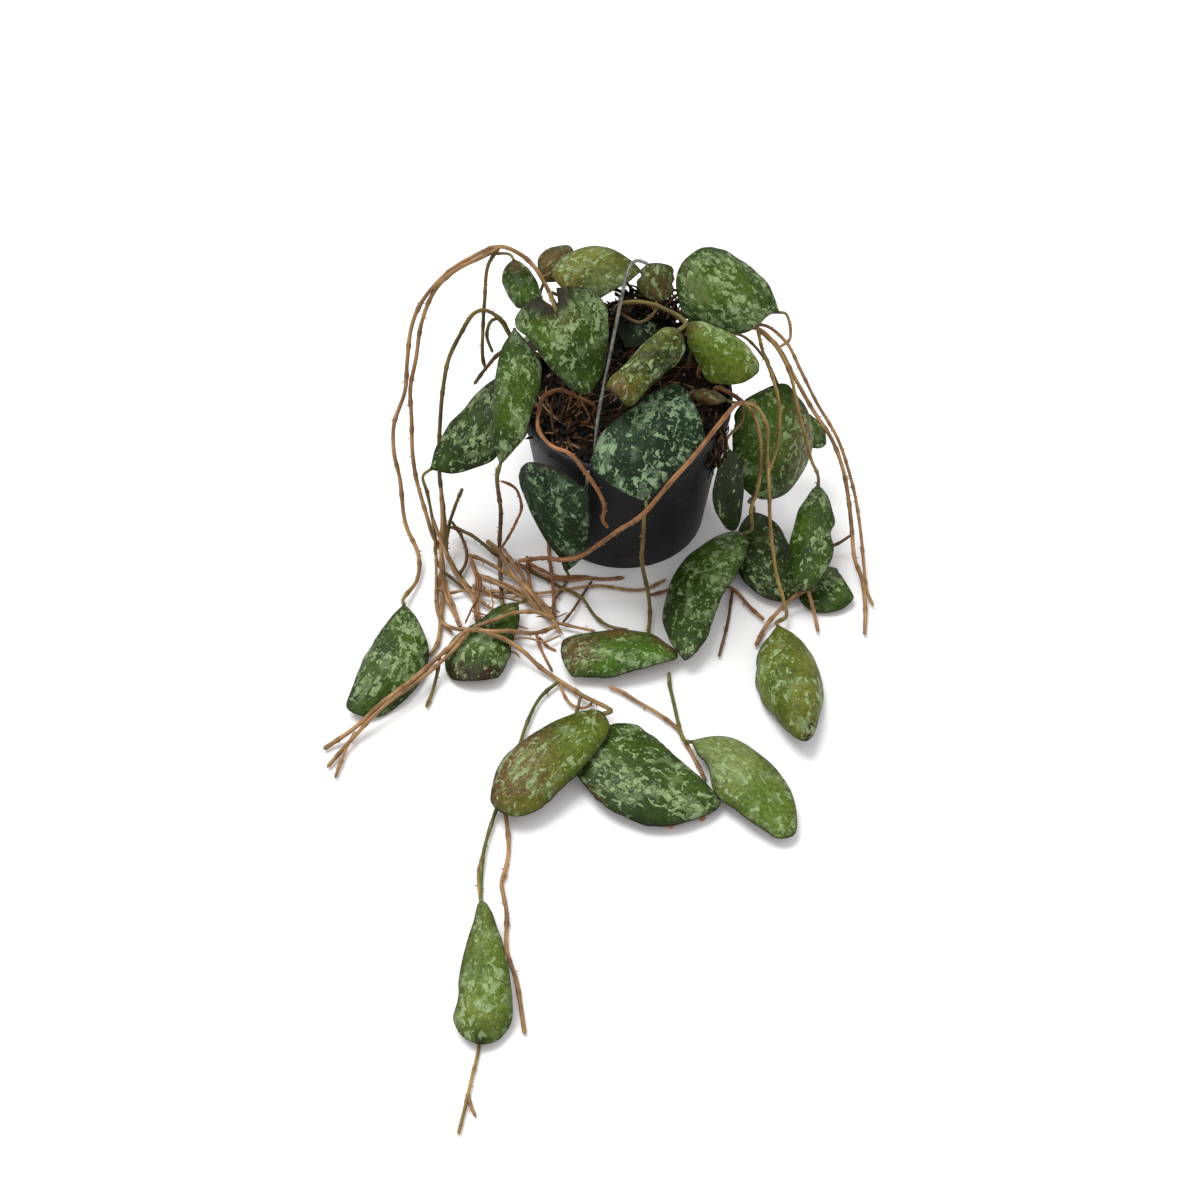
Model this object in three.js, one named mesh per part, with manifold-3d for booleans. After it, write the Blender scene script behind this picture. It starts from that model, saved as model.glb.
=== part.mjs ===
// Potted hoya imbricata: a 12 cm plastic pot of soil with a wire handle, and a shingle plant whose
// domed leaves and wiry stems crowd over the rim and trail over the surface in front of the pot.
// Millimetres, +Z up. The origin is the centre of the pot's base. The plant trails to -Y.
import * as THREE from "three";
import { mergeVertices } from "three/addons/utils/BufferGeometryUtils.js";
import Module from "manifold-3d";

const wasm = await Module();
wasm.setup();

// Pot
const POT_HEIGHT = 96;
const BASE_RADIUS = 47;
const WALL_TOP_RADIUS = 58.2;
const RIM_RADIUS = 60;
const RIM_DEPTH = 8;
const WALL = 1.1;
const FOOT_WIDTH = 4;
const FOOT_DEPTH = 2;
const HUB_RADIUS = 12;
const FLOOR_THICKNESS = 1.4;
const POT_FLOOR_Z = FOOT_DEPTH + FLOOR_THICKNESS;
const POT_SEGMENTS = 40;
const DRAIN_HOLES = 6;
const DRAIN_HOLE_RADIUS = 4;
const DRAIN_CIRCLE_RADIUS = 31;

// Soil
const SOIL_GAP = 0.3;
const SOIL_TOP = 85;
const SOIL_RINGS = 4;
const SOIL_BUMP = 1.6;
const STEM_HOLE_GAP = 0.7;
const ROOTED_Z = 70;

// Wire handle: one wire, from its tail outside the wall through a hole in the rim, over the plant
// and out through a second hole behind
const WIRE_RADIUS = 1;
const WIRE_HOLE_RADIUS = 1.8;
const DRILL_SIDES = 10;
const DRILL_LENGTH = 20;
const WIRE_SIDES = 6;
const WIRE_STEP = 10;
const WIRE_BEND_STEP = 1.6;
const WIRE_HOLE_Z = 91.5;
const FRONT_HOLE_ANGLE = -110;
const BACK_HOLE_ANGLE = 60;

// Leaves
const LEAF_THICKNESS = 1.2;
const LEAF_STEPS_LONG = 8;
const LEAF_STEPS_FLAT = 4;
const LEAF_STEPS_CURLED = 6;
const CURLED_FROM = 100;
const PETIOLE_GAP = 0.4;
const PETIOLE_LENGTH = 6;
const MIDRIB_START = 0.03;

// Stems
const STEM_SIDES = 5;
const STEM_STEP = 13;

// Each leaf: the two ends of its midrib, the way its upper face looks, and its flat half widths to
// the left and right of the midrib at nine places from base to tip. A domed leaf curls across with
// one radius, and a rolled leaf with the same arc (curl, degrees) all along, so that it tapers.
// arch, bend and twist are degrees from end to end, and lobe sweeps the base's corners back.
const LEAVES = [
  {
    name: "leaf_left_roll", base: [-62.5, 53, 147], tip: [-50, 26, 140], up: [0.3, -0.3, 0.9],
    curl: 220, arch: 25,
    left: [12, 20, 20, 20, 20, 18, 16, 14, 8], right: [12, 20, 20, 20, 20, 18, 16, 14, 8],
  },
  {
    name: "leaf_crown", base: [-41.5, 42.5, 147], tip: [8, 42.5, 148.5], up: [0, -0.3, 0.95],
    radius: 22, arch: 70,
    left: [3, 10, 14, 17, 19, 17, 11, 6, 1.5], right: [3, 12, 18, 21, 20, 17, 13, 8, 1.5],
  },
  {
    name: "leaf_crown_front", base: [-38, 5.5, 151.5], tip: [-21, -20, 114.5], up: [-0.05, -0.62, 0.78],
    radius: 32, arch: 50, lobe: 13,
    left: [19, 29, 31, 28, 25, 20, 16, 10, 2], right: [25, 27, 22, 19, 17, 14, 11, 8, 2],
  },
  {
    name: "leaf_left_hanging", base: [-69.5, -45, 85], tip: [-61.5, 10, 135.5], up: [-0.2, -0.7, 0.65],
    radius: 18, arch: 50, bend: 35,
    left: [0.9, 7, 10, 13, 14, 14, 12, 8, 0.9], right: [0.9, 5, 10, 11, 13, 15, 14, 7, 0.9],
  },
  {
    name: "leaf_left_outer", base: [-111, -23.5, 58.5], tip: [-68.5, 20, 90], up: [-0.3, -0.35, 0.88],
    radius: 25, arch: 40, bend: 45,
    left: [0.9, 8, 12, 16, 15, 13, 12, 9, 3], right: [0.9, 11, 17, 22, 23, 20, 15, 10, 3],
  },
  {
    name: "leaf_pot_front", base: [-34, -55.5, 8], tip: [-43, -51, 90], up: [-0.55, -0.83, 0],
    radius: 80, arch: 20,
    left: [1.5, 0.9, 8, 12, 18, 21, 24, 21, 12], right: [1.5, 9, 16, 20, 22, 24, 24, 24, 13],
  },
  {
    name: "leaf_crown_brown", base: [-46, 49.5, 134.5], tip: [-30, 62.5, 147.5], up: [-0.2, -0.6, 0.8],
    radius: 15, arch: 30, bend: -40,
    left: [2, 5, 9, 12, 12, 10, 7, 5, 3], right: [2, 7, 8, 8, 8, 8, 8, 8, 4],
  },
  {
    name: "leaf_roll_left", base: [28, -4, 147], tip: [-7, -40, 134], up: [0, -0.4, 0.9],
    curl: 260, arch: 20,
    left: [13, 22, 23, 21, 18, 17, 18, 18, 14], right: [13, 22, 23, 21, 18, 17, 18, 18, 14],
  },
  {
    name: "leaf_roll_right", base: [33.5, 10, 139.5], tip: [72, -11.5, 123], up: [0.2, -0.4, 0.9],
    curl: 230, arch: 30,
    left: [5, 15, 19, 23, 27, 28, 25, 20, 12], right: [5, 15, 19, 23, 27, 28, 25, 20, 12],
  },
  {
    name: "leaf_crown_right", base: [86.5, 37.5, 122.5], tip: [31.5, 43.5, 154.5], up: [0.4, -0.5, 0.75],
    radius: 36, arch: 42, bend: -40,
    left: [0.9, 4, 16, 20, 22, 24, 25, 18, 8], right: [0.9, 15, 22, 26, 27, 28, 27, 22, 12],
  },
  {
    name: "leaf_crown_back", base: [16.5, 25, 142], tip: [18.5, 37.5, 158.5], up: [0, -0.6, 0.8],
    radius: 25, arch: 40,
    left: [4, 8, 11, 12, 12, 10, 11, 9, 6], right: [3, 7, 9, 9, 8, 9, 8, 8, 6],
  },
  {
    name: "leaf_inner", base: [-1, 42, 123.5], tip: [10.5, 16.5, 117.5], up: [0, -0.5, 0.85],
    radius: 24, arch: 30, bend: 5,
    left: [2, 4, 6, 8, 10, 12, 14, 9, 4], right: [2, 5, 6, 8, 10, 10, 10, 10, 4],
  },
  {
    name: "leaf_front", base: [10, -81.5, 95], tip: [28.5, -17, 118.5], up: [0, -0.5, 0.85],
    radius: 51, arch: 40, bend: -40,
    left: [4, 20, 32, 31, 27, 18, 12, 8, 3], right: [3, 10, 18, 24, 27, 30, 27, 19, 6],
  },
  {
    name: "leaf_scrap", base: [56, -12, 102], tip: [34, -9, 104], up: [0, -0.6, 0.8],
    radius: 4.5, arch: 70, twist: 60,
    left: [0.9, 2, 4, 5, 5, 4.5, 4, 2, 0.9], right: [0.9, 3, 4.5, 5, 4.5, 5, 3, 2.5, 0.9],
  },
  {
    name: "leaf_right_hanging", base: [85, 15, 88], tip: [86.5, -9.5, 19], up: [0.35, -0.7, 0.3],
    radius: 37, arch: 45, bend: -15,
    left: [8, 13, 20, 24, 29, 32, 27, 19, 9], right: [17, 26, 28, 30, 30, 28, 26, 22, 12],
  },
  {
    name: "leaf_right_back", base: [99, 37, 43], tip: [118, 20, 33], up: [0.4, -0.5, 0.75],
    radius: 21, arch: 30,
    left: [2, 6, 9, 10, 11, 10, 9, 6, 3], right: [2, 7, 9, 11, 11, 11, 8, 6, 3],
  },
  {
    name: "leaf_right_low", base: [57.5, -29, 80], tip: [63, -41, 27], up: [0.75, -0.6, 0.25],
    radius: 50, arch: 30,
    left: [2, 4, 6, 7, 7, 6, 5, 4, 2], right: [4, 12, 16, 18, 18, 16, 13, 9, 3],
  },
  {
    name: "leaf_right_dark", base: [76.5, -11.5, 9], tip: [97.5, -74.5, 5], up: [0, 0, 1],
    radius: 38, arch: 35, bend: 45,
    left: [5, 13, 16, 17, 18, 16, 14, 10, 4], right: [3, 8, 12, 15, 18, 19, 17, 13, 5],
  },
  {
    name: "leaf_right_notched", base: [113, -7, 27], tip: [100.5, -78, 16], up: [-0.2, 0, 1],
    radius: 19, arch: 45, bend: -10,
    left: [2, 7, 10, 13, 11, 15, 13, 10, 5], right: [2, 6, 10, 12, 13, 14, 12, 9, 4],
  },
  {
    name: "leaf_right_lowest", base: [104.5, -55, 4.5], tip: [130.5, -73.5, 4.5], up: [0, 0, 1],
    radius: 32, arch: 35, bend: 40,
    left: [12, 18, 20, 18, 16, 13, 10, 6, 2], right: [6, 11, 15, 17, 18, 17, 14, 10, 3],
  },
  {
    name: "leaf_banana", base: [69, -35.5, 18], tip: [33, -122.5, 9.5], up: [-0.1, 0, 1],
    radius: 21, arch: 45, bend: 55,
    left: [6, 14, 18, 19, 18, 18, 16, 13, 5], right: [6, 12, 16, 18, 18, 16, 15, 9, 2],
  },
  {
    name: "leaf_middle", base: [28.5, -118.5, 7], tip: [-36, -117.5, 8], up: [0, 0, 1],
    radius: 24, arch: 52, bend: 20,
    left: [3, 8, 13, 16, 19, 20, 19, 17, 15], right: [5, 9, 14, 15, 14, 13, 14, 16, 17],
  },
  {
    name: "leaf_low_left", base: [-126, -81.5, 8], tip: [-152.5, -153.5, 6], up: [0, 0, 1],
    radius: 21, arch: 42, bend: -65,
    left: [0.9, 7, 13, 20, 22, 22, 20, 17, 7], right: [0.9, 8, 14, 18, 21, 19, 14, 8, 3],
  },
  {
    name: "leaf_folded", base: [-61.5, -80.5, 8], tip: [-84, -135, 7], up: [0, 0, 1],
    radius: 28, arch: 38, bend: 45,
    left: [2, 9, 13, 15, 16, 18, 17, 16, 12], right: [2, 6, 7, 8, 14, 22, 22, 19, 13],
  },
  {
    name: "leaf_teardrop", base: [86, -99, 10], tip: [95.5, -181, 14], up: [0, 0, 1],
    curl: 186, arch: 50,
    left: [5, 22, 26, 29, 28, 26, 20, 14, 5], right: [5, 22, 26, 29, 28, 26, 20, 14, 5],
  },
  {
    name: "leaf_floor_left", base: [-13, -163, 14], tip: [-65.5, -224.5, 10], up: [0, 0, 1],
    radius: 28, arch: 50, bend: 20,
    left: [9, 15, 18, 20, 21, 20, 19, 16, 9], right: [5, 9, 11, 14, 18, 21, 20, 15, 9],
  },
  {
    name: "leaf_floor_middle", base: [-25.5, -176.5, 7], tip: [49, -215, 5.5], up: [0, 0, 1],
    radius: 55, arch: 40, bend: 40,
    left: [19, 34, 33, 31, 27, 22, 16, 10, 3], right: [7, 16, 21, 25, 26, 26, 22, 14, 5],
  },
  {
    name: "leaf_floor_right", base: [35, -176, 6], tip: [85, -236.5, 6], up: [0, 0, 1],
    radius: 27, arch: 50, bend: -25,
    left: [2, 18, 22, 20, 19, 18, 15, 10, 4], right: [1.5, 7, 10, 18, 20, 18, 16, 12, 8],
  },
  {
    name: "leaf_lowest", base: [-74.5, -276, 6], tip: [-72.5, -354.5, 5], up: [0, 0, 1],
    radius: 18, arch: 80, bend: -15,
    left: [2, 4, 6, 9, 12, 14, 16, 16, 9], right: [2, 4, 6, 9, 12, 14, 14, 16, 9],
  },
  {
    name: "leaf_back_left", base: [-44, 52, 100], tip: [-66, 74, 48], up: [-0.6, 0.6, 0.5],
    radius: 26, arch: 40,
    left: [0.9, 13, 19, 23, 25, 24, 20, 12, 0.9], right: [0.9, 11, 18, 22, 24, 25, 22, 14, 2],
  },
  {
    name: "leaf_back_middle", base: [-14, 67, 101], tip: [-10, 92, 48], up: [0, 0.8, 0.5],
    radius: 30, arch: 40,
    left: [0.9, 12, 19, 24, 26, 25, 21, 13, 2], right: [0.9, 14, 20, 25, 26, 24, 20, 12, 2],
  },
  {
    name: "leaf_back_right", base: [46, 58, 99], tip: [60, 80, 46], up: [0.45, 0.75, 0.5],
    radius: 25, arch: 40,
    left: [0.9, 11, 18, 22, 24, 24, 20, 13, 2], right: [0.9, 13, 19, 22, 24, 22, 18, 11, 0.9],
  },
];

// Each stem is a radius and the points that its middle line goes through, with the name of the
// leafy stem that it is fused into.
const STEMS = [
  {
    vine: "stem_left", radius: 1.5, to: "leaf_low_left",
    path: [
      [-20, 10, 70], [-20, 10, 80], [-20, 10, 90], [-27, 18, 106], [-38, 32, 128], [-45, 39, 142],
      [-52, 44, 152], [-60, 48, 157], [-70, 52, 158], [-85, 51, 152], [-101, 47, 142], [-115, 39, 128],
      [-121, 33, 115], [-124, 24, 98], [-126, 16, 82], [-133, 8, 64], [-134, 1, 48], [-131, -8, 34],
      [-128, -26, 16], [-120, -43, 7], [-120, -58, 3.5],
    ],
  },
  {
    vine: "stem_left", radius: 1.5,
    path: [
      [-70, 52, 158], [-79, 50, 153], [-95, 46, 146], [-107, 43, 134], [-115, 34, 118], [-119, 25, 99],
      [-123, 18, 82], [-123, 10, 66], [-123, -1, 50], [-121, -11, 38], [-114, -29, 20], [-112, -33, 14],
      [-108, -38, 8], [-106, -45, 5], [-105, -66, 3], [-105, -88, 3], [-106, -104, 2], [-110, -114, 2],
    ],
  },
  {
    vine: "stem_left", radius: 1.5,
    path: [
      [-27, 18, 106], [-48, 22, 104], [-64, 25, 115], [-71, 29, 126], [-79, 31, 130], [-85, 28, 130],
      [-92, 21, 122], [-99, 14, 110], [-103, 12, 92], [-106, 9, 70], [-108, -4, 40], [-105, -26, 16],
      [-104, -40, 8], [-100, -48, 4], [-96, -55, 3], [-89, -66, 3], [-84, -74, 3],
    ],
  },
  {
    vine: "stem_left", radius: 1.3,
    path: [
      [-70, 52, 158], [-77, 50, 146], [-79, 37, 132], [-80, 32, 122], [-81, 25, 98], [-79, 21, 93],
    ],
  },
  { vine: "stem_left", radius: 1.1, to: "leaf_left_roll", path: [[-70, 52, 158], [-74, 54, 152]] },
  { vine: "stem_left", radius: 1.1, to: "leaf_crown", path: [[-60, 48, 157], [-54, 47, 152]] },
  { vine: "stem_left", radius: 1.1, to: "leaf_crown_brown", path: [[-38, 32, 128], [-48, 42, 129]] },
  {
    vine: "stem_left", radius: 1.2,
    path: [
      [-64, 25, 115], [-70, 29, 125], [-75, 28, 125], [-78, 25, 117], [-75, 22, 106],
    ],
  },
  {
    vine: "stem_left", radius: 1.3,
    path: [
      [-48, 22, 104], [-62, 24, 108], [-70, 22, 107], [-79, 17, 99], [-86, 12, 91],
    ],
  },
  {
    vine: "stem_left", radius: 1.2, to: "leaf_left_outer",
    path: [
      [-110, -35.5, 11], [-111, -34, 28], [-113, -30, 46],
    ],
  },
  {
    vine: "stem_left", radius: 1.3,
    path: [
      [-93, -27, 47], [-98, -27, 32], [-103, -30, 15], [-104, -40, 8],
    ],
  },
  {
    vine: "stem_left", radius: 1.5, to: "leaf_left_hanging",
    path: [
      [-70, -80, 3], [-72, -58, 3], [-73, -38, 9], [-71, -40, 40],
    ],
  },
  {
    vine: "stem_left", radius: 1,
    path: [
      [-70, -43, 70], [-65, -42, 66], [-61, -39, 57], [-59, -41, 46], [-62, -40, 34], [-69, -39, 15],
      [-74, -42, 8],
    ],
  },
  {
    vine: "stem_left", radius: 1.1,
    path: [
      [-98, -21, 6], [-88, -27, 5], [-75, -41, 5], [-61, -48, 4],
    ],
  },
  {
    vine: "stem_left", radius: 1.1,
    path: [
      [-104, -26, 12], [-98, -21, 6], [-95, -29, 5], [-92, -40, 4], [-93, -47, 3], [-96, -55, 3],
    ],
  },
  {
    vine: "stem_left", radius: 1.4,
    path: [
      [-92, -40, 4], [-86, -43, 5], [-74, -51, 5], [-64, -59, 5], [-55, -69, 5], [-46, -79, 5],
      [-40, -91, 4], [-37, -98, 3],
    ],
  },
  {
    vine: "stem_left", radius: 1.1,
    path: [
      [-90, -41, 3], [-86, -55, 3], [-87, -71, 3], [-85, -87, 3],
    ],
  },
  {
    vine: "stem_left", radius: 1.2,
    path: [
      [-86, -54, 3], [-72, -60, 3], [-60, -68, 4], [-49, -76, 4],
    ],
  },
  {
    vine: "stem_left", radius: 1.8,
    path: [
      [-81, -32, 8], [-73, -41, 8], [-64, -58, 6], [-55, -69, 6], [-46, -83, 5], [-39, -93, 4],
    ],
  },
  {
    vine: "stem_left", radius: 1.5,
    path: [
      [-106, -50, 4], [-108, -64, 3], [-108, -76, 3], [-104, -90, 3], [-96, -98, 7], [-88, -105, 15],
      [-74, -108, 17], [-64, -107, 16], [-52, -102, 8], [-42, -95, 4], [-38, -90, 4],
    ],
  },
  {
    vine: "stem_left", radius: 1.2,
    path: [
      [-105, -55, 4], [-102, -68, 4], [-98, -79, 4], [-95, -91, 5.5], [-92.5, -100, 12],
    ],
  },
  {
    vine: "stem_left", radius: 1.6, to: "leaf_floor_left",
    path: [
      [-164, -178, 2], [-148, -167, 6], [-132, -153, 12], [-118, -138, 11], [-98, -115, 12],
      [-87, -106, 16], [-73, -110, 16], [-60, -114, 10], [-47, -124, 4], [-37, -132, 3], [-24, -143, 4],
    ],
  },
  {
    vine: "stem_left", radius: 1.4,
    path: [
      [-161, -190, 2], [-147, -171, 5], [-131, -154, 11], [-116, -139, 10], [-97, -118, 11],
      [-86, -105, 15], [-71, -98, 16], [-62, -92, 14], [-49, -88, 9], [-40, -90, 4],
    ],
  },
  { vine: "stem_left", radius: 1.2, path: [[-156, -197, 2], [-152, -180, 3], [-147, -168, 5]] },
  { vine: "stem_left", radius: 1.2, path: [[-41, -72, 3], [-41, -85, 3], [-40, -91, 4]] },
  { vine: "stem_left", radius: 1.1, to: "leaf_pot_front", path: [[-41, -74, 3], [-36, -64, 2]] },
  { vine: "stem_left", radius: 1.1, to: "leaf_folded", path: [[-60, -68, 4]] },
  {
    vine: "stem_left", radius: 1.3, to: "leaf_lowest",
    path: [
      [-37, -132, 3], [-47, -143, 3], [-54, -160, 3], [-62, -195, 3], [-70, -221, 3], [-75, -246, 3],
    ],
  },
  {
    vine: "stem_left", radius: 1.4,
    path: [
      [-66, -210, 3], [-63, -229, 3], [-62, -243, 2], [-64, -258, 2], [-65, -262, 2], [-62, -279, 2],
      [-61, -302, 2], [-56, -318, 2], [-51, -348, 2],
    ],
  },
  {
    vine: "stem_left", radius: 1.1,
    path: [
      [-75, -244, 3], [-77, -256, 2], [-75, -276, 1.7], [-73, -300, 1.7], [-73, -330, 1.6],
      [-73, -354, 1.6], [-76, -372, 2], [-78, -384, 2], [-81, -400, 2],
    ],
  },
  { vine: "stem_left", radius: 1, path: [[-77, -378, 2], [-76, -384, 2], [-73, -391, 2]] },
  {
    vine: "stem_left", radius: 1.2,
    path: [
      [-36, -64, 2.5], [-25, -72, 3], [-17, -86, 3], [-9, -93, 3], [2, -96, 3],
    ],
  },
  {
    vine: "stem_left", radius: 1.1,
    path: [
      [-84, -66, 2.5], [-51, -68, 2.5], [-17, -62, 2], [9, -65, 2], [24, -57, 2],
    ],
  },
  {
    vine: "stem_left", radius: 1.2,
    path: [
      [-64, -46.5, 4.2], [-56, -50, 4], [-46, -56, 3], [-30, -58, 2.5], [-18, -56, 2.5],
    ],
  },
  {
    vine: "stem_left", radius: 1,
    path: [
      [-37, -133, 3], [-34, -142, 2.5], [-29, -149, 2.5], [-22, -150, 2.5], [-17, -144, 2.5],
    ],
  },
  {
    vine: "stem_left", radius: 1.2,
    path: [
      [-103, -121, 11], [-105, -130, 5], [-107, -139, 2.5], [-110, -150, 2],
    ],
  },
  { vine: "stem_left", radius: 1.1, path: [[-40, -91, 4], [-26, -95, 4], [-17, -99, 6]] },
  {
    vine: "stem_left", radius: 1.1, to: "leaf_floor_middle",
    path: [
      [-25, -143, 4], [-28, -158, 4.5], [-31, -170, 6],
    ],
  },
  {
    vine: "stem_front", radius: 1.6,
    path: [
      [-62, -50, 10], [-55, -54, 16], [-46, -60, 24], [-35, -66.5, 30], [-26, -67.5, 34],
      [-16, -69, 45], [-4, -78, 68], [9, -86, 90], [24, -74, 103], [36, -59, 106], [49, -38, 107],
      [60, -19, 105], [64, -12, 101], [59, -5, 100], [51, 2, 98], [50, 3, 90], [50, 3, 80], [50, 3, 70],
    ],
  },
  {
    vine: "stem_front", radius: 1.4,
    path: [
      [9, -86, 90], [9, -85, 70], [9, -76, 38], [13, -75, 10], [14, -82, 4], [13, -96, 3],
      [12, -105, 3.5], [11, -111, 7], [11, -115, 11],
    ],
  },
  { vine: "stem_front", radius: 1.1, to: "leaf_front", path: [[9, -86, 90]] },
  { vine: "stem_front", radius: 1.1, to: "leaf_scrap", path: [[64, -12, 101]] },
  { vine: "stem_front", radius: 1.1, to: "leaf_right_low", path: [[64, -12, 101], [65, -17, 92]] },
  {
    vine: "stem_front", radius: 1.3, to: "leaf_banana",
    path: [
      [64, -12, 101], [70, -11, 94], [75, -14, 80], [77, -20, 60], [75.5, -26, 43], [72.5, -30, 33],
    ],
  },
  {
    vine: "stem_front", radius: 1.3, to: "leaf_teardrop",
    path: [
      [64, -12, 101], [72, -10, 96], [79, -13, 84], [80, -19, 68], [82, -28, 48], [83, -37, 32],
      [84, -54, 26], [86, -69, 19], [90, -80, 9.5], [91, -89, 7],
    ],
  },
  {
    vine: "stem_front", radius: 1.1, to: "leaf_right_dark",
    path: [
      [75.5, -26, 43], [74, -17, 28], [73, -9, 16], [75, -5, 11],
    ],
  },
  {
    vine: "stem_right", radius: 1.1, to: "leaf_right_lowest",
    path: [
      [132, -33, 14], [124, -35, 8], [112, -38, 5], [102, -44, 4],
    ],
  },
  {
    vine: "stem_loop", radius: 1.4,
    path: [
      [-18, -4, 70], [-18, -4, 80], [-18, -4, 90], [-28, -5, 98], [-36, -5, 103], [-45, -12, 106],
      [-48, -24, 106], [-48, -37, 104], [-41, -47, 102], [-31, -53, 102], [-23, -62, 98],
      [-15, -67, 86], [-12, -65, 72], [-13, -62, 58], [-10, -60, 50],
    ],
  },
  {
    vine: "stem_crown", radius: 1.4, to: "leaf_roll_left",
    path: [
      [-9, 40, 70], [-9, 40, 80], [-9, 40, 90], [-9, 40, 106], [-6, 34, 128], [0, 24, 142],
      [11, 18, 147], [24, 11, 147], [30, 4, 148],
    ],
  },
  { vine: "stem_crown", radius: 1.2, to: "leaf_roll_right", path: [[24, 11, 147]] },
  { vine: "stem_crown", radius: 1.1, to: "leaf_crown_back", path: [[-6, 34, 128], [8, 20, 131]] },
  { vine: "stem_crown", radius: 1.1, to: "leaf_inner", path: [[-9, 40, 104]] },
  {
    vine: "stem_crown", radius: 1.3, to: "leaf_crown_front",
    path: [
      [-9, 40, 98], [-14, 28, 116], [-25, 27, 135], [-41, 25, 148],
    ],
  },
  {
    vine: "stem_right", radius: 1.5,
    path: [
      [42, 25, 70], [42, 25, 80], [42, 25, 90], [50, 31, 106], [64, 32, 115], [74, 29, 118],
      [86, 22, 110], [94, 16, 97], [106, 7, 78], [119, -2, 60], [126, -10, 44], [130, -19, 28],
      [132, -30, 16], [133, -47, 9], [136, -62, 8], [137, -78, 3.5], [135, -99, 2.5],
    ],
  },
  {
    vine: "stem_right", radius: 1.2,
    path: [
      [66, 32, 115], [78, 33, 117], [91, 27, 109], [99, 18, 97], [109, 9, 80], [122, 0, 60],
      [129, -9, 44], [134, -19, 29], [137, -31, 16], [138, -47, 9], [139, -68, 4], [142, -78, 3],
    ],
  },
  {
    vine: "stem_right", radius: 1.2, to: "leaf_right_notched",
    path: [
      [74, 29, 118], [84, 20, 113], [93, 12, 98], [98, 3, 80], [104, -3, 61], [108, -6, 47],
      [112, -4, 36],
    ],
  },
  { vine: "stem_right", radius: 1.1, to: "leaf_crown_right", path: [[86, 22, 110], [93, 30, 110]] },
  {
    vine: "stem_right", radius: 1.2,
    path: [
      [74, 29, 118], [77, 19, 110], [83, 9, 98], [87, 0, 84], [86, -12, 66], [81, -21, 50],
    ],
  },
  { vine: "stem_right", radius: 1.1, to: "leaf_right_hanging", path: [[77, 19, 110], [80, 22, 101]] },
  {
    vine: "stem_right", radius: 1.1, to: "leaf_right_back",
    path: [
      [50, 31, 106], [64, 42, 102], [80, 48, 80], [91, 44, 58],
    ],
  },
  {
    vine: "stem_front", radius: 1.5,
    path: [
      [108, -71, 11.5], [100, -75, 11.5], [91, -81, 8], [80, -92, 3], [73, -107, 2.5],
    ],
  },
  { vine: "stem_front", radius: 1.3, path: [[104, -73, 11.5], [107, -83, 5], [109, -97, 2.5]] },
  {
    vine: "stem_front", radius: 1.3,
    path: [
      [13, -76, 10], [20, -68, 3], [34, -62, 2.5], [48, -60, 2.5], [62, -65, 2.5], [71, -78, 2.5],
      [79, -88, 2.5],
    ],
  },
  { vine: "stem_front", radius: 1.1, path: [[62, -65, 2.5], [58, -90, 2.5], [52, -115, 2.5]] },
  {
    vine: "stem_back", radius: 1.4, to: "leaf_back_left",
    path: [
      [-26, 40, 70], [-26, 40, 80], [-26, 40, 90], [-29, 47, 102], [-36, 53, 107],
    ],
  },
  { vine: "stem_back", radius: 1.2, to: "leaf_back_middle", path: [[-29, 47, 102], [-20, 56, 108]] },
  {
    vine: "stem_back_right", radius: 1.3, to: "leaf_back_right",
    path: [
      [36, 30, 70], [36, 30, 80], [36, 30, 90], [40, 42, 101], [44, 52, 105],
    ],
  },
  {
    vine: "stem_floor", radius: 1.3,
    path: [
      [-10, -135.5, 2.5], [-3, -139, 2.5], [6, -146, 2.5], [17, -154, 2.5], [28, -165, 2.5],
      [33, -176, 1.8], [38, -188, 1.7], [42, -198, 1.7],
    ],
  },
  {
    vine: "stem_floor", radius: 1.3, to: "leaf_floor_right",
    path: [
      [24, -125, 2.2], [24, -134, 2.5], [26, -147, 2.8], [28.5, -163, 3],
    ],
  },
];

// The wire's middle line in the order it was bent: tail, front bend, arch and back bend. Each
// piece starts inside the one before it.
const WIRE = [
  {
    step: WIRE_STEP,
    path: [[-23, -48.5, 24], [-23.4, -53, 55], [-22, -58, 80], [-21.4, -58.8, 86]],
  },
  {
    step: WIRE_BEND_STEP,
    path: [
      [-21.4, -58.8, 85], [-21.3, -58.7, 89.5], [-20.6, -56.6, 91.5], [-18.6, -51.2, 91.5],
      [-17.9, -48.4, 93.5], [-17.4, -46, 97],
    ],
  },
  {
    step: WIRE_STEP,
    path: [
      [-17.6, -46.8, 96], [-15.6, -36, 112], [-10.2, -18, 133.7], [-4.8, 2, 152.5],
      [-0.5, 17, 166], [2, 24, 169.5], [4.5, 30, 167.5], [8, 38, 159.5], [13, 46, 149],
      [15, 51, 136], [19, 52, 118], [26, 46, 100],
    ],
  },
  {
    step: WIRE_BEND_STEP,
    path: [
      [25.8, 46.2, 101], [26.6, 46.2, 95], [27.4, 47.4, 91.8], [30.4, 52.6, 91.5],
      [31, 53.8, 88.5], [31, 53.8, 84],
    ],
  },
];

const MATERIALS = {
  pot: { color: 0x1d1e22, roughness: 0.55, metalness: 0 },
  soil: { color: 0x2a1d14, roughness: 1, metalness: 0 },
  wire: { color: 0xa8aaa8, roughness: 0.35, metalness: 1 },
  leaf: { color: 0x4c6b3a, roughness: 0.5, metalness: 0 },
  stem: { color: 0x8a6540, roughness: 0.7, metalness: 0 },
};

const plant = new THREE.Group();

function point(values) {
  return new THREE.Vector3(...values);
}

function addMesh(name, geometry, material) {
  const mesh = new THREE.Mesh(geometry, new THREE.MeshStandardMaterial(MATERIALS[material]));
  mesh.name = name;
  plant.add(mesh);
}

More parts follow.
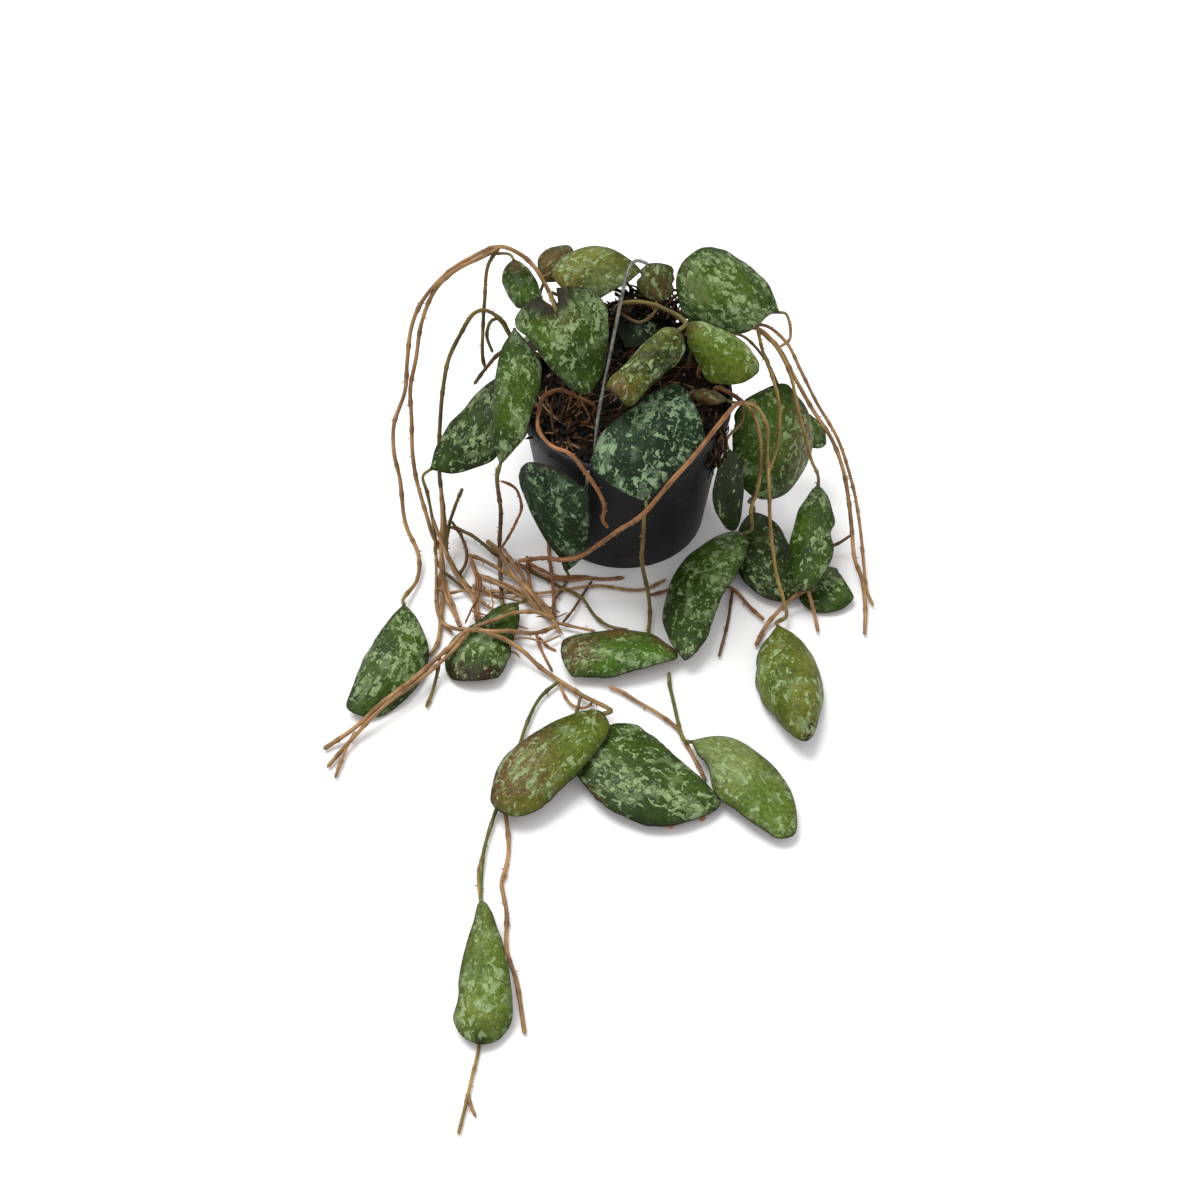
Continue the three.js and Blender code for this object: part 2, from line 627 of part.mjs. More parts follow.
// Closed solids for cutting and joining
function toSolid(geometry) {
  const bare = geometry.clone();
  bare.deleteAttribute("normal");
  bare.deleteAttribute("uv");
  const merged = mergeVertices(bare, 1e-4);
  return new wasm.Manifold(new wasm.Mesh({
    numProp: 3,
    vertProperties: new Float32Array(merged.attributes.position.array),
    triVerts: new Uint32Array(merged.index.array),
  }));
}

function toGeometry(solid) {
  const mesh = solid.getMesh();
  const geometry = new THREE.BufferGeometry();
  geometry.setAttribute("position", new THREE.BufferAttribute(new Float32Array(mesh.vertProperties), 3));
  geometry.setIndex(new THREE.BufferAttribute(new Uint32Array(mesh.triVerts), 1));
  geometry.computeVertexNormals();
  return geometry;
}

// A round tube along a smooth line through the points
function tube(path, radius, sides, step) {
  const curve = new THREE.CatmullRomCurve3(path, false, "centripetal");
  const section = new THREE.Shape(
    Array.from({ length: sides }, (_, i) => {
      const angle = (2 * Math.PI * i) / sides;
      return new THREE.Vector2(radius * Math.cos(angle), radius * Math.sin(angle));
    }),
  );
  const steps = Math.max(2, Math.round(curve.getLength() / step));
  return new THREE.ExtrudeGeometry(section, { steps, extrudePath: curve, bevelEnabled: false });
}

// Leaf blade
function leafFrame(leaf) {
  const base = point(leaf.base);
  const tip = point(leaf.tip);
  const along = tip.clone().sub(base);
  const length = along.length();
  along.normalize();
  const up = point(leaf.up);
  up.addScaledVector(along, -up.dot(along)).normalize();
  const right = along.clone().cross(up);
  return { base, along, up, right, length };
}

function halfWidth(leaf, s, side) {
  const widths = side < 0 ? leaf.left : leaf.right;
  const place = s * (widths.length - 1);
  const i = Math.min(Math.floor(place), widths.length - 2);
  return THREE.MathUtils.lerp(widths[i], widths[i + 1], place - i);
}

// How the blade curls across: the radius of its section
function curlRadius(leaf, s) {
  if (leaf.radius) return leaf.radius;
  return (halfWidth(leaf, s, -1) + halfWidth(leaf, s, 1)) / THREE.MathUtils.degToRad(leaf.curl);
}

// A place on the blade: s runs from base to tip, v from the left margin (-1) to the right (1)
function leafPoint(leaf, frame, s, v, lift) {
  const { base, along, up, right, length } = frame;
  const arch = THREE.MathUtils.degToRad(leaf.arch);
  const bend = THREE.MathUtils.degToRad(leaf.bend ?? 0);
  const twist = THREE.MathUtils.degToRad(leaf.twist ?? 0);
  const swept = s - ((leaf.lobe ?? 0) / length) * v * v * (1 - s) ** 2;
  const turn = arch * (swept - 0.5);
  const reach = length / (2 * Math.sin(arch / 2));
  const spine = base.clone()
    .addScaledVector(along, length / 2 + reach * Math.sin(turn))
    .addScaledVector(up, reach * (Math.cos(turn) - Math.cos(arch / 2)))
    .addScaledVector(right, length * (bend / 2) * swept * (1 - swept));
  const forward = along.clone().multiplyScalar(Math.cos(turn)).addScaledVector(up, -Math.sin(turn));
  const normal = along.clone().multiplyScalar(Math.sin(turn)).addScaledVector(up, Math.cos(turn));
  const heading = Math.atan((bend / 2) * (1 - 2 * swept));
  const sideways = right.clone().multiplyScalar(Math.cos(heading))
    .addScaledVector(forward, -Math.sin(heading));
  const lean = twist * (s - 0.5);
  const across = sideways.clone().multiplyScalar(Math.cos(lean)).addScaledVector(normal, Math.sin(lean));
  const out = normal.clone().multiplyScalar(Math.cos(lean)).addScaledVector(sideways, -Math.sin(lean));
  const radius = curlRadius(leaf, s);
  const around = (v * halfWidth(leaf, s, Math.sign(v))) / radius;
  return spine
    .addScaledVector(across, (radius + lift) * Math.sin(around))
    .addScaledVector(out, (radius + lift) * Math.cos(around) - radius);
}

function leafGeometry(leaf) {
  const frame = leafFrame(leaf);
  const widest = Math.max(...leaf.left) + Math.max(...leaf.right);
  const arc = leaf.curl ?? THREE.MathUtils.radToDeg(widest / leaf.radius);
  const steps = arc < CURLED_FROM ? LEAF_STEPS_FLAT : LEAF_STEPS_CURLED;
  const rows = LEAF_STEPS_LONG + 1;
  const columns = steps + 1;
  const positions = [];
  for (const lift of [LEAF_THICKNESS / 2, -LEAF_THICKNESS / 2]) {
    for (let i = 0; i < rows; i++) {
      for (let j = 0; j < columns; j++) {
        const s = i / LEAF_STEPS_LONG;
        const v = (2 * j) / steps - 1;
        positions.push(...leafPoint(leaf, frame, s, v, lift).toArray());
      }
    }
  }
  const under = rows * columns;
  const faces = [];
  const at = (i, j) => i * columns + j;
  for (let i = 0; i < LEAF_STEPS_LONG; i++) {
    for (let j = 0; j < steps; j++) {
      const quad = [at(i, j), at(i + 1, j), at(i + 1, j + 1), at(i, j + 1)];
      const halves = [[0, 2, 1], [0, 3, 2]];
      for (const [a, b, c] of halves) {
        faces.push(quad[a], quad[b], quad[c]);
        faces.push(quad[a] + under, quad[c] + under, quad[b] + under);
      }
    }
  }
  const rim = [];
  for (let j = 0; j < steps; j++) rim.push(at(0, j));
  for (let i = 0; i < LEAF_STEPS_LONG; i++) rim.push(at(i, steps));
  for (let j = steps; j > 0; j--) rim.push(at(LEAF_STEPS_LONG, j));
  for (let i = LEAF_STEPS_LONG; i > 0; i--) rim.push(at(i, 0));
  rim.forEach((a, k) => {
    const b = rim[(k + 1) % rim.length];
    faces.push(a, a + under, b + under);
    faces.push(a, b + under, b);
  });
  const geometry = new THREE.BufferGeometry();
  geometry.setAttribute("position", new THREE.Float32BufferAttribute(positions, 3));
  geometry.setIndex(faces);
  geometry.computeVertexNormals();
  return geometry;
}

// Stems: each path may end at a leaf, where it lines up with the midrib and stops just short of it
function stemPath(stem) {
  const path = stem.path.map(point);
  if (stem.to) {
    const leaf = LEAVES.find((entry) => entry.name === stem.to);
    const frame = leafFrame(leaf);
    const base = leafPoint(leaf, frame, 0, 0, 0);
    const heading = leafPoint(leaf, frame, MIDRIB_START, 0, 0).sub(base).normalize();
    for (const back of [PETIOLE_LENGTH, PETIOLE_GAP]) {
      path.push(base.clone().addScaledVector(heading, -back));
    }
  }
  return path;
}

function stemSolids(vine) {
  return STEMS.filter((stem) => stem.vine === vine)
    .map((stem) => toSolid(tube(stemPath(stem), stem.radius, STEM_SIDES, STEM_STEP)));
}

// Pot
function wallRadius(z) {
  return BASE_RADIUS + ((WALL_TOP_RADIUS - BASE_RADIUS) * z) / (POT_HEIGHT - RIM_DEPTH);
}

function potSolid() {
  const lipZ = POT_HEIGHT - RIM_DEPTH;
  const floorZ = POT_FLOOR_Z;
  const profile = [
    [0, 0],
    [HUB_RADIUS, 0],
    [HUB_RADIUS, FOOT_DEPTH],
    [BASE_RADIUS - FOOT_WIDTH, FOOT_DEPTH],
    [BASE_RADIUS - FOOT_WIDTH, 0],
    [BASE_RADIUS, 0],
    [WALL_TOP_RADIUS, lipZ],
    [RIM_RADIUS, lipZ],
    [RIM_RADIUS, POT_HEIGHT],
    [wallRadius(POT_HEIGHT) - WALL, POT_HEIGHT],
    [wallRadius(floorZ) - WALL, floorZ],
    [0, floorZ],
  ].map(([r, z]) => new THREE.Vector2(r, z));
  const body = new THREE.LatheGeometry(profile, POT_SEGMENTS);
  body.rotateX(Math.PI / 2);
  let solid = toSolid(body);
  for (let i = 0; i < DRAIN_HOLES; i++) {
    const angle = (2 * Math.PI * i) / DRAIN_HOLES;
    const drill = new THREE.CylinderGeometry(
      DRAIN_HOLE_RADIUS, DRAIN_HOLE_RADIUS, DRILL_LENGTH, DRILL_SIDES);
    drill.rotateX(Math.PI / 2);
    drill.translate(DRAIN_CIRCLE_RADIUS, 0, 0);
    drill.rotateZ(angle);
    solid = solid.subtract(toSolid(drill));
  }
  for (const degrees of [FRONT_HOLE_ANGLE, BACK_HOLE_ANGLE]) {
    const drill = new THREE.CylinderGeometry(WIRE_HOLE_RADIUS, WIRE_HOLE_RADIUS, DRILL_LENGTH, DRILL_SIDES);
    drill.rotateZ(Math.PI / 2);
    drill.translate(wallRadius(WIRE_HOLE_Z), 0, WIRE_HOLE_Z);
    drill.rotateZ(THREE.MathUtils.degToRad(degrees));
    solid = solid.subtract(toSolid(drill));
  }
  return solid;
}

// Soil: fills the pot to a bumpy top, with a hole for each stem that is rooted in it
function soilTop(r, angle) {
  const wave = Math.sin(3 * angle + 0.09 * r) + Math.sin(5 * angle + 2 - 0.21 * r) + Math.cos(0.16 * r);
  return SOIL_TOP + (SOIL_BUMP / 3) * wave;
}

function soilSolid() {
  const low = POT_FLOOR_Z + SOIL_GAP;
  const side = (z) => wallRadius(z) - WALL - SOIL_GAP;
  const positions = [0, 0, low, 0, 0, soilTop(0, 0)];
  const faces = [];
  for (let i = 0; i < POT_SEGMENTS; i++) {
    const angle = (2 * Math.PI * i) / POT_SEGMENTS;
    positions.push(side(low) * Math.cos(angle), side(low) * Math.sin(angle), low);
    for (let ring = SOIL_RINGS; ring > 0; ring--) {
      const share = ring / SOIL_RINGS;
      const top = soilTop(share * side(SOIL_TOP), angle);
      const r = share * side(top);
      positions.push(r * Math.cos(angle), r * Math.sin(angle), top);
    }
  }
  const stride = SOIL_RINGS + 1;
  const at = (i, k) => 2 + (i % POT_SEGMENTS) * stride + k;
  for (let i = 0; i < POT_SEGMENTS; i++) {
    faces.push(0, at(i + 1, 0), at(i, 0));
    for (let k = 0; k < SOIL_RINGS; k++) {
      faces.push(at(i, k), at(i + 1, k), at(i + 1, k + 1));
      faces.push(at(i, k), at(i + 1, k + 1), at(i, k + 1));
    }
    faces.push(at(i, SOIL_RINGS), at(i + 1, SOIL_RINGS), 1);
  }
  const geometry = new THREE.BufferGeometry();
  geometry.setAttribute("position", new THREE.Float32BufferAttribute(positions, 3));
  geometry.setIndex(faces);
  let solid = toSolid(geometry);
  for (const stem of STEMS) {
    for (const [x, y, z] of [stem.path[0], stem.path[stem.path.length - 1]]) {
      if (z !== ROOTED_Z) continue;
      const height = POT_HEIGHT - ROOTED_Z + SOIL_GAP;
      const reach = stem.radius + STEM_HOLE_GAP;
      const drill = new THREE.CylinderGeometry(reach, reach, height, DRILL_SIDES);
      drill.rotateX(Math.PI / 2);
      drill.translate(x, y, POT_HEIGHT - height / 2);
      solid = solid.subtract(toSolid(drill));
    }
  }
  return solid;
}

addMesh("pot", toGeometry(potSolid()), "pot");
addMesh("soil", toGeometry(soilSolid()), "soil");

const wireSolids = WIRE.map((piece) => (
  toSolid(tube(piece.path.map(point), WIRE_RADIUS, WIRE_SIDES, piece.step))
));
addMesh("wire_handle", toGeometry(wireSolids.reduce((sum, solid) => sum.add(solid))), "wire");

for (const leaf of LEAVES) {
  addMesh(leaf.name, leafGeometry(leaf), "leaf");
}

for (const vine of new Set(STEMS.map((stem) => stem.vine))) {
  const whole = stemSolids(vine).reduce((sum, solid) => sum.add(solid));
  addMesh(vine, toGeometry(whole), "stem");
}

export default plant;
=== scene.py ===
# %% [markdown]
# # A potted shingle plant with domed leaves
# A hoya grows in a 12 cm plastic pot with a wire handle. Its thick, domed leaves crowd the
# rim, and its wiry stems hang down and trail over the floor in front. The solids of the
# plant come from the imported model. Here each of them gets a finer surface and its finish.

import bpy
import numpy as np
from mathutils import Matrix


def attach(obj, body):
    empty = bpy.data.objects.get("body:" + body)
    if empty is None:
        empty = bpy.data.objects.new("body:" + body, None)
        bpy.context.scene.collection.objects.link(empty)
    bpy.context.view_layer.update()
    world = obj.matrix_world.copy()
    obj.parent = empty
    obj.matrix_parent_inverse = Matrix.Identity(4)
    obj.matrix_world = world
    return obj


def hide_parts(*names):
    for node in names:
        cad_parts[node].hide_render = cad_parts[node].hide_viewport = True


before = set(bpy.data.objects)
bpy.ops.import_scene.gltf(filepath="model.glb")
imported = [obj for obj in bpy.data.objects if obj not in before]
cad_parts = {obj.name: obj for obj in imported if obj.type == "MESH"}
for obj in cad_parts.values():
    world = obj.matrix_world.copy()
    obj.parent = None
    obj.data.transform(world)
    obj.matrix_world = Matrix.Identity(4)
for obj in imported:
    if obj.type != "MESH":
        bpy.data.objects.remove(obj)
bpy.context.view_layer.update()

MM = 0.001

# %% [markdown]
# ## Camera, light and floor
# The picture looks down on the plant at 50 degrees. A lens of 60 mm on a 36 mm sensor gives
# the same mild perspective. The floor and the light are plain: a white dome of light from
# all sides, and one broad soft lamp above, a little behind and to the left, so that the
# shadows stay pale.

# %% Camera
CAMERA_AIM = np.array([-0.0145, -0.071, 0.0])
CAMERA_DISTANCE = 1.15
CAMERA_DOWN = np.radians(50)
LENS = 60
SENSOR = 36


def add_object(name, data):
    thing = bpy.data.objects.new(name, data)
    bpy.context.scene.collection.objects.link(thing)
    return thing


camera = add_object("camera", bpy.data.cameras.new("camera"))
camera.data.lens = LENS
camera.data.sensor_width = SENSOR
camera.location = CAMERA_AIM + CAMERA_DISTANCE * np.array(
    [0, -np.cos(CAMERA_DOWN), np.sin(CAMERA_DOWN)])
camera.rotation_euler = (np.pi / 2 - CAMERA_DOWN, 0, 0)
bpy.context.scene.camera = camera
bpy.context.scene.view_settings.view_transform = "Standard"
print("camera at", np.round(camera.location, 3))

# %% Light
DOME_STRENGTH = 0.84
LAMP_STRENGTH = 2.1
LAMP_SPREAD = np.radians(36)
LAMP_TURN = np.radians([-20, -18, 0])

world = bpy.data.worlds.new("studio")
world.use_nodes = True
world.node_tree.nodes["Background"].inputs["Color"].default_value = (1, 1, 1, 1)
world.node_tree.nodes["Background"].inputs["Strength"].default_value = DOME_STRENGTH
bpy.context.scene.world = world
lamp = add_object("lamp", bpy.data.lights.new("lamp", "SUN"))
lamp.data.energy = LAMP_STRENGTH
lamp.data.angle = LAMP_SPREAD
lamp.rotation_euler = LAMP_TURN
print("light from a dome and a lamp above")

# %% [markdown]
# ## Colours and shader sums
# Colours are written as they look on a screen and turned into light values once. Shader
# sums are written as plain Python: `Value` wraps a socket, and each `+` or `*` on it adds
# a Math node. `Finish` holds one material and adds any other node.

# %% Colours
def light_value(*screen):
    """Screen colour 0-255 to linear light 0-1, by the usual curve of screens."""
    share = np.array(screen, float) / 255
    return np.where(share > 0.04045, ((share + 0.055) / 1.055) ** 2.4, share / 12.92)


def paint(*screen):
    """A colour for a shader socket."""
    return (*light_value(*screen).tolist(), 1)


# %% Shader sums
class Value:
    """A number on a surface. Arithmetic on it adds Math nodes."""

    def __init__(self, tree, socket):
        self.tree = tree
        self.socket = socket

    def math(self, operation, *terms):
        node = self.tree.nodes.new("ShaderNodeMath")
        node.operation = operation
        for place, term in enumerate(terms):
            if isinstance(term, Value):
                self.tree.links.new(term.socket, node.inputs[place])
            else:
                node.inputs[place].default_value = term
        return Value(self.tree, node.outputs[0])

    def __add__(self, other):
        return self.math("ADD", self, other)

    __radd__ = __add__

    def __sub__(self, other):
        return self.math("SUBTRACT", self, other)

    def __rsub__(self, other):
        return self.math("SUBTRACT", other, self)

    def __mul__(self, other):
        return self.math("MULTIPLY", self, other)

    __rmul__ = __mul__

    def larger(self, other):
        return self.math("MAXIMUM", self, other)


# %% Finish
class Finish:
    """One material: a shader, and the nodes that feed it."""

    def __init__(self, name, **constants):
        self.material = bpy.data.materials.new(name)
        self.material.use_nodes = True
        self.tree = self.material.node_tree
        self.shader = self.tree.nodes["Principled BSDF"]
        for socket, value in constants.items():
            self.shader.inputs[socket.replace("_", " ")].default_value = value

    def node(self, kind, settings=None, sockets=None, out=0):
        """Adds a node: its settings first, then the values or links of its sockets."""
        node = self.tree.nodes.new(kind)
        for key, value in (settings or {}).items():
            setattr(node, key, value)
        for key, value in (sockets or {}).items():
            if isinstance(value, Value):
                self.tree.links.new(value.socket, node.inputs[key])
            else:
                node.inputs[key].default_value = value
        return Value(self.tree, node.outputs[out])

    def place(self):
        """Object coordinates, in metres."""
        return self.node("ShaderNodeTexCoord", out=3)

    def attribute(self, name, out=2):
        return self.node("ShaderNodeAttribute", {"attribute_name": name}, out=out)

    def vector(self, operation, one, other):
        return self.node("ShaderNodeVectorMath", {"operation": operation}, {0: one, 1: other})

    def noise(self, vector, scale, detail=2, roughness=0.5, out=0):
        """A noise of one scale, or with three scales one that is stretched."""
        if isinstance(scale, tuple):
            vector, scale = self.vector("MULTIPLY", vector, scale), 1
        return self.node("ShaderNodeTexNoise", None, {
            "Vector": vector, "Scale": scale, "Detail": detail, "Roughness": roughness}, out)

    def band(self, value, low, high, start=0, end=1):
        """Start below low, end above high, and a soft step between them."""
        return self.node("ShaderNodeMapRange", {"interpolation_type": "SMOOTHSTEP"}, {
            "Value": value, "From Min": low, "From Max": high, "To Min": start, "To Max": end})

    def mix(self, share, one, other):
        """One colour where the share is 0, the other where it is 1."""
        return self.node("ShaderNodeMix", {"data_type": "RGBA"}, {0: share, 6: one, 7: other}, 2)

    def over(self, value, low, high, most, under, colour):
        """The colour laid over another one from low up, with its greatest share at high."""
        return self.mix(self.band(value, low, high) * most, under, colour)

    def shades(self, share, tone, dark, light):
        """The tone times the dark factors where the share is 0, times the light ones at 1."""
        return self.mix(share, self.vector("MULTIPLY", tone, dark),
                        self.vector("MULTIPLY", tone, light))

    def bump(self, height, distance, strength=0.8):
        return self.node("ShaderNodeBump", None, {
            "Height": height, "Distance": distance, "Strength": strength})

    def feed(self, **links):
        for socket, value in links.items():
            self.tree.links.new(value.socket, self.shader.inputs[socket.replace("_", " ")])
        return self.material


# %% Floor
FLOOR_HALF = 3

floor_finish = Finish("white_floor", Roughness=0.9)
floor_tone = floor_finish.noise(floor_finish.place(), 3)
floor_mesh = bpy.data.meshes.new("floor")
floor_mesh.from_pydata([(-FLOOR_HALF, -FLOOR_HALF, 0), (FLOOR_HALF, -FLOOR_HALF, 0),
                        (FLOOR_HALF, FLOOR_HALF, 0), (-FLOOR_HALF, FLOOR_HALF, 0)],
                       [], [(0, 1, 2, 3)])
floor_mesh.materials.append(floor_finish.feed(
    Base_Color=floor_finish.mix(floor_tone, paint(249, 249, 249), paint(251, 251, 251))))
floor = add_object("floor", floor_mesh)
print("floor of", 2 * FLOOR_HALF, "m")

# %% [markdown]
# ## From arrays to meshes
# Every new surface is a grid of points that is worked out as one array. One helper puts the
# points and faces into a mesh and hangs the named values on the points, such as a colour
# or the distance to the margin, for the materials to read.

# %% Mesh helper
def closed_grid(rows, columns):
    """Faces of a tube: a grid that runs along in rows and round in columns, with flat ends."""
    at = np.arange(rows * columns).reshape(rows, columns)
    beside = np.roll(at, -1, axis=1)
    sides = np.stack([at[:-1], beside[:-1], beside[1:], at[1:]], axis=-1).reshape(-1, 4)
    return [sides, at[:1, ::-1], at[-1:]]


def make_piece(name, points, material, values=None, faces=None):
    """Points in millimetres, and arrays of faces, each array with faces of one length. A
    grid of points needs no faces: it becomes a tube."""
    faces = faces or closed_grid(*points.shape[:2])
    points = points.reshape(-1, 3)
    corners = np.concatenate([group.ravel() for group in faces])
    lengths = np.concatenate([np.full(len(group), group.shape[1]) for group in faces])
    mesh = bpy.data.meshes.new(name)
    mesh.vertices.add(len(points))
    mesh.vertices.foreach_set("co", (points * MM).astype(np.float32).ravel())
    mesh.loops.add(len(corners))
    mesh.loops.foreach_set("vertex_index", corners.astype(np.int32))
    mesh.polygons.add(len(lengths))
    starts = np.concatenate([[0], np.cumsum(lengths)[:-1]])
    mesh.polygons.foreach_set("loop_start", starts.astype(np.int32))
    mesh.update(calc_edges=True)
    mesh.validate()
    mesh.polygons.foreach_set("use_smooth", np.ones(len(lengths), bool))
    for key, value in (values or {}).items():
        single = value.size == len(points)
        attribute = mesh.attributes.new(key, "FLOAT" if single else "FLOAT_VECTOR", "POINT")
        attribute.data.foreach_set("value" if single else "vector", value.astype(np.float32).ravel())
    mesh.materials.append(material)
    return add_object(name, mesh)


def show(piece, slot, node=None):
    """The piece rides on the body; the slot is not used. Where a node is named, the piece is shown in
    place of that solid. Gives the number of faces."""
    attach(piece, "root")
    if node:
        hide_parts(node)
    return len(piece.data.polygons)


# %% Many skins in one piece
def repeated_grid(count, rows, columns):
    """Faces of that many tubes alike, each with its own run of points."""
    starts = (np.arange(count) * rows * columns)[:, None, None]
    return [(group[None] + starts).reshape(-1, group.shape[1]) for group in closed_grid(rows, columns)]


def make_joined(name, parts, material):
    """Several skins, each as points, values and faces, as one piece: the points follow each
    other, and the faces are counted on."""
    points, values, faces = zip(*parts)
    starts = np.concatenate([[0], np.cumsum([len(group) for group in points])[:-1]])
    groups = [group + start for skin, start in zip(faces, starts) for group in skin]
    merged = {key: np.concatenate([row[key] for row in values]) for key in values[0]}
    by_length = [np.concatenate([group for group in groups if group.shape[1] == corners])
                 for corners in sorted({group.shape[1] for group in groups})]
    return make_piece(name, np.concatenate(points), material, merged, by_length)


# %% Waves and tones
def waves(places, rng, lengths, count=12):
    """A smooth uneven surface between about -1 and 1: a sum of plane waves with random
    directions, starts and wavelengths. Places is an array of points in millimetres."""
    heading = rng.normal(size=(count, places.shape[-1]))
    heading /= np.linalg.norm(heading, axis=1, keepdims=True)
    pace = 2 * np.pi / rng.uniform(*lengths, size=count)
    start = rng.uniform(0, 2 * np.pi, size=count)
    return np.sin(places @ (heading * pace[:, None]).T + start).sum(-1) / np.sqrt(2 * count)


def blend(share, one, other):
    """One array where the share is 0, the other where it is 1."""
    return one * (1 - share) + other * share


def uneven_tone(tones, places, rng, lengths):
    """A colour at each place, somewhere between a light and a deep tone, by a wave."""
    light, deep = (light_value(*tone) for tone in tones)
    share = np.clip(0.5 + 0.6 * waves(places, rng, lengths), 0, 1)[..., None]
    return blend(share, deep, light)


def even_turn(count):
    """Angles at even steps once round."""
    return 2 * np.pi * np.arange(count) / count


# %% [markdown]
# ## Leaves: the form
# A leaf of this plant is a thick shield, domed over the surface it grew on. Its form is the
# two ends of the midrib, the flat half widths to the left and right of it at nine places,
# and how far the blade curls, arches and bends. One function bends the flat outline, so all
# leaves share it. A cloth or a sculpted lump would be harder to place.

# %% Leaf numbers
LEAF_THICKNESS = 1.2
LEAF_END_HALF_WIDTH = 0.9
ABOVE_FLOOR = 0.05
BLUNT_END = 0.05
MIDRIB_START = 0.03
WIDTH_STEPS = 8
END_CUT = 0.95
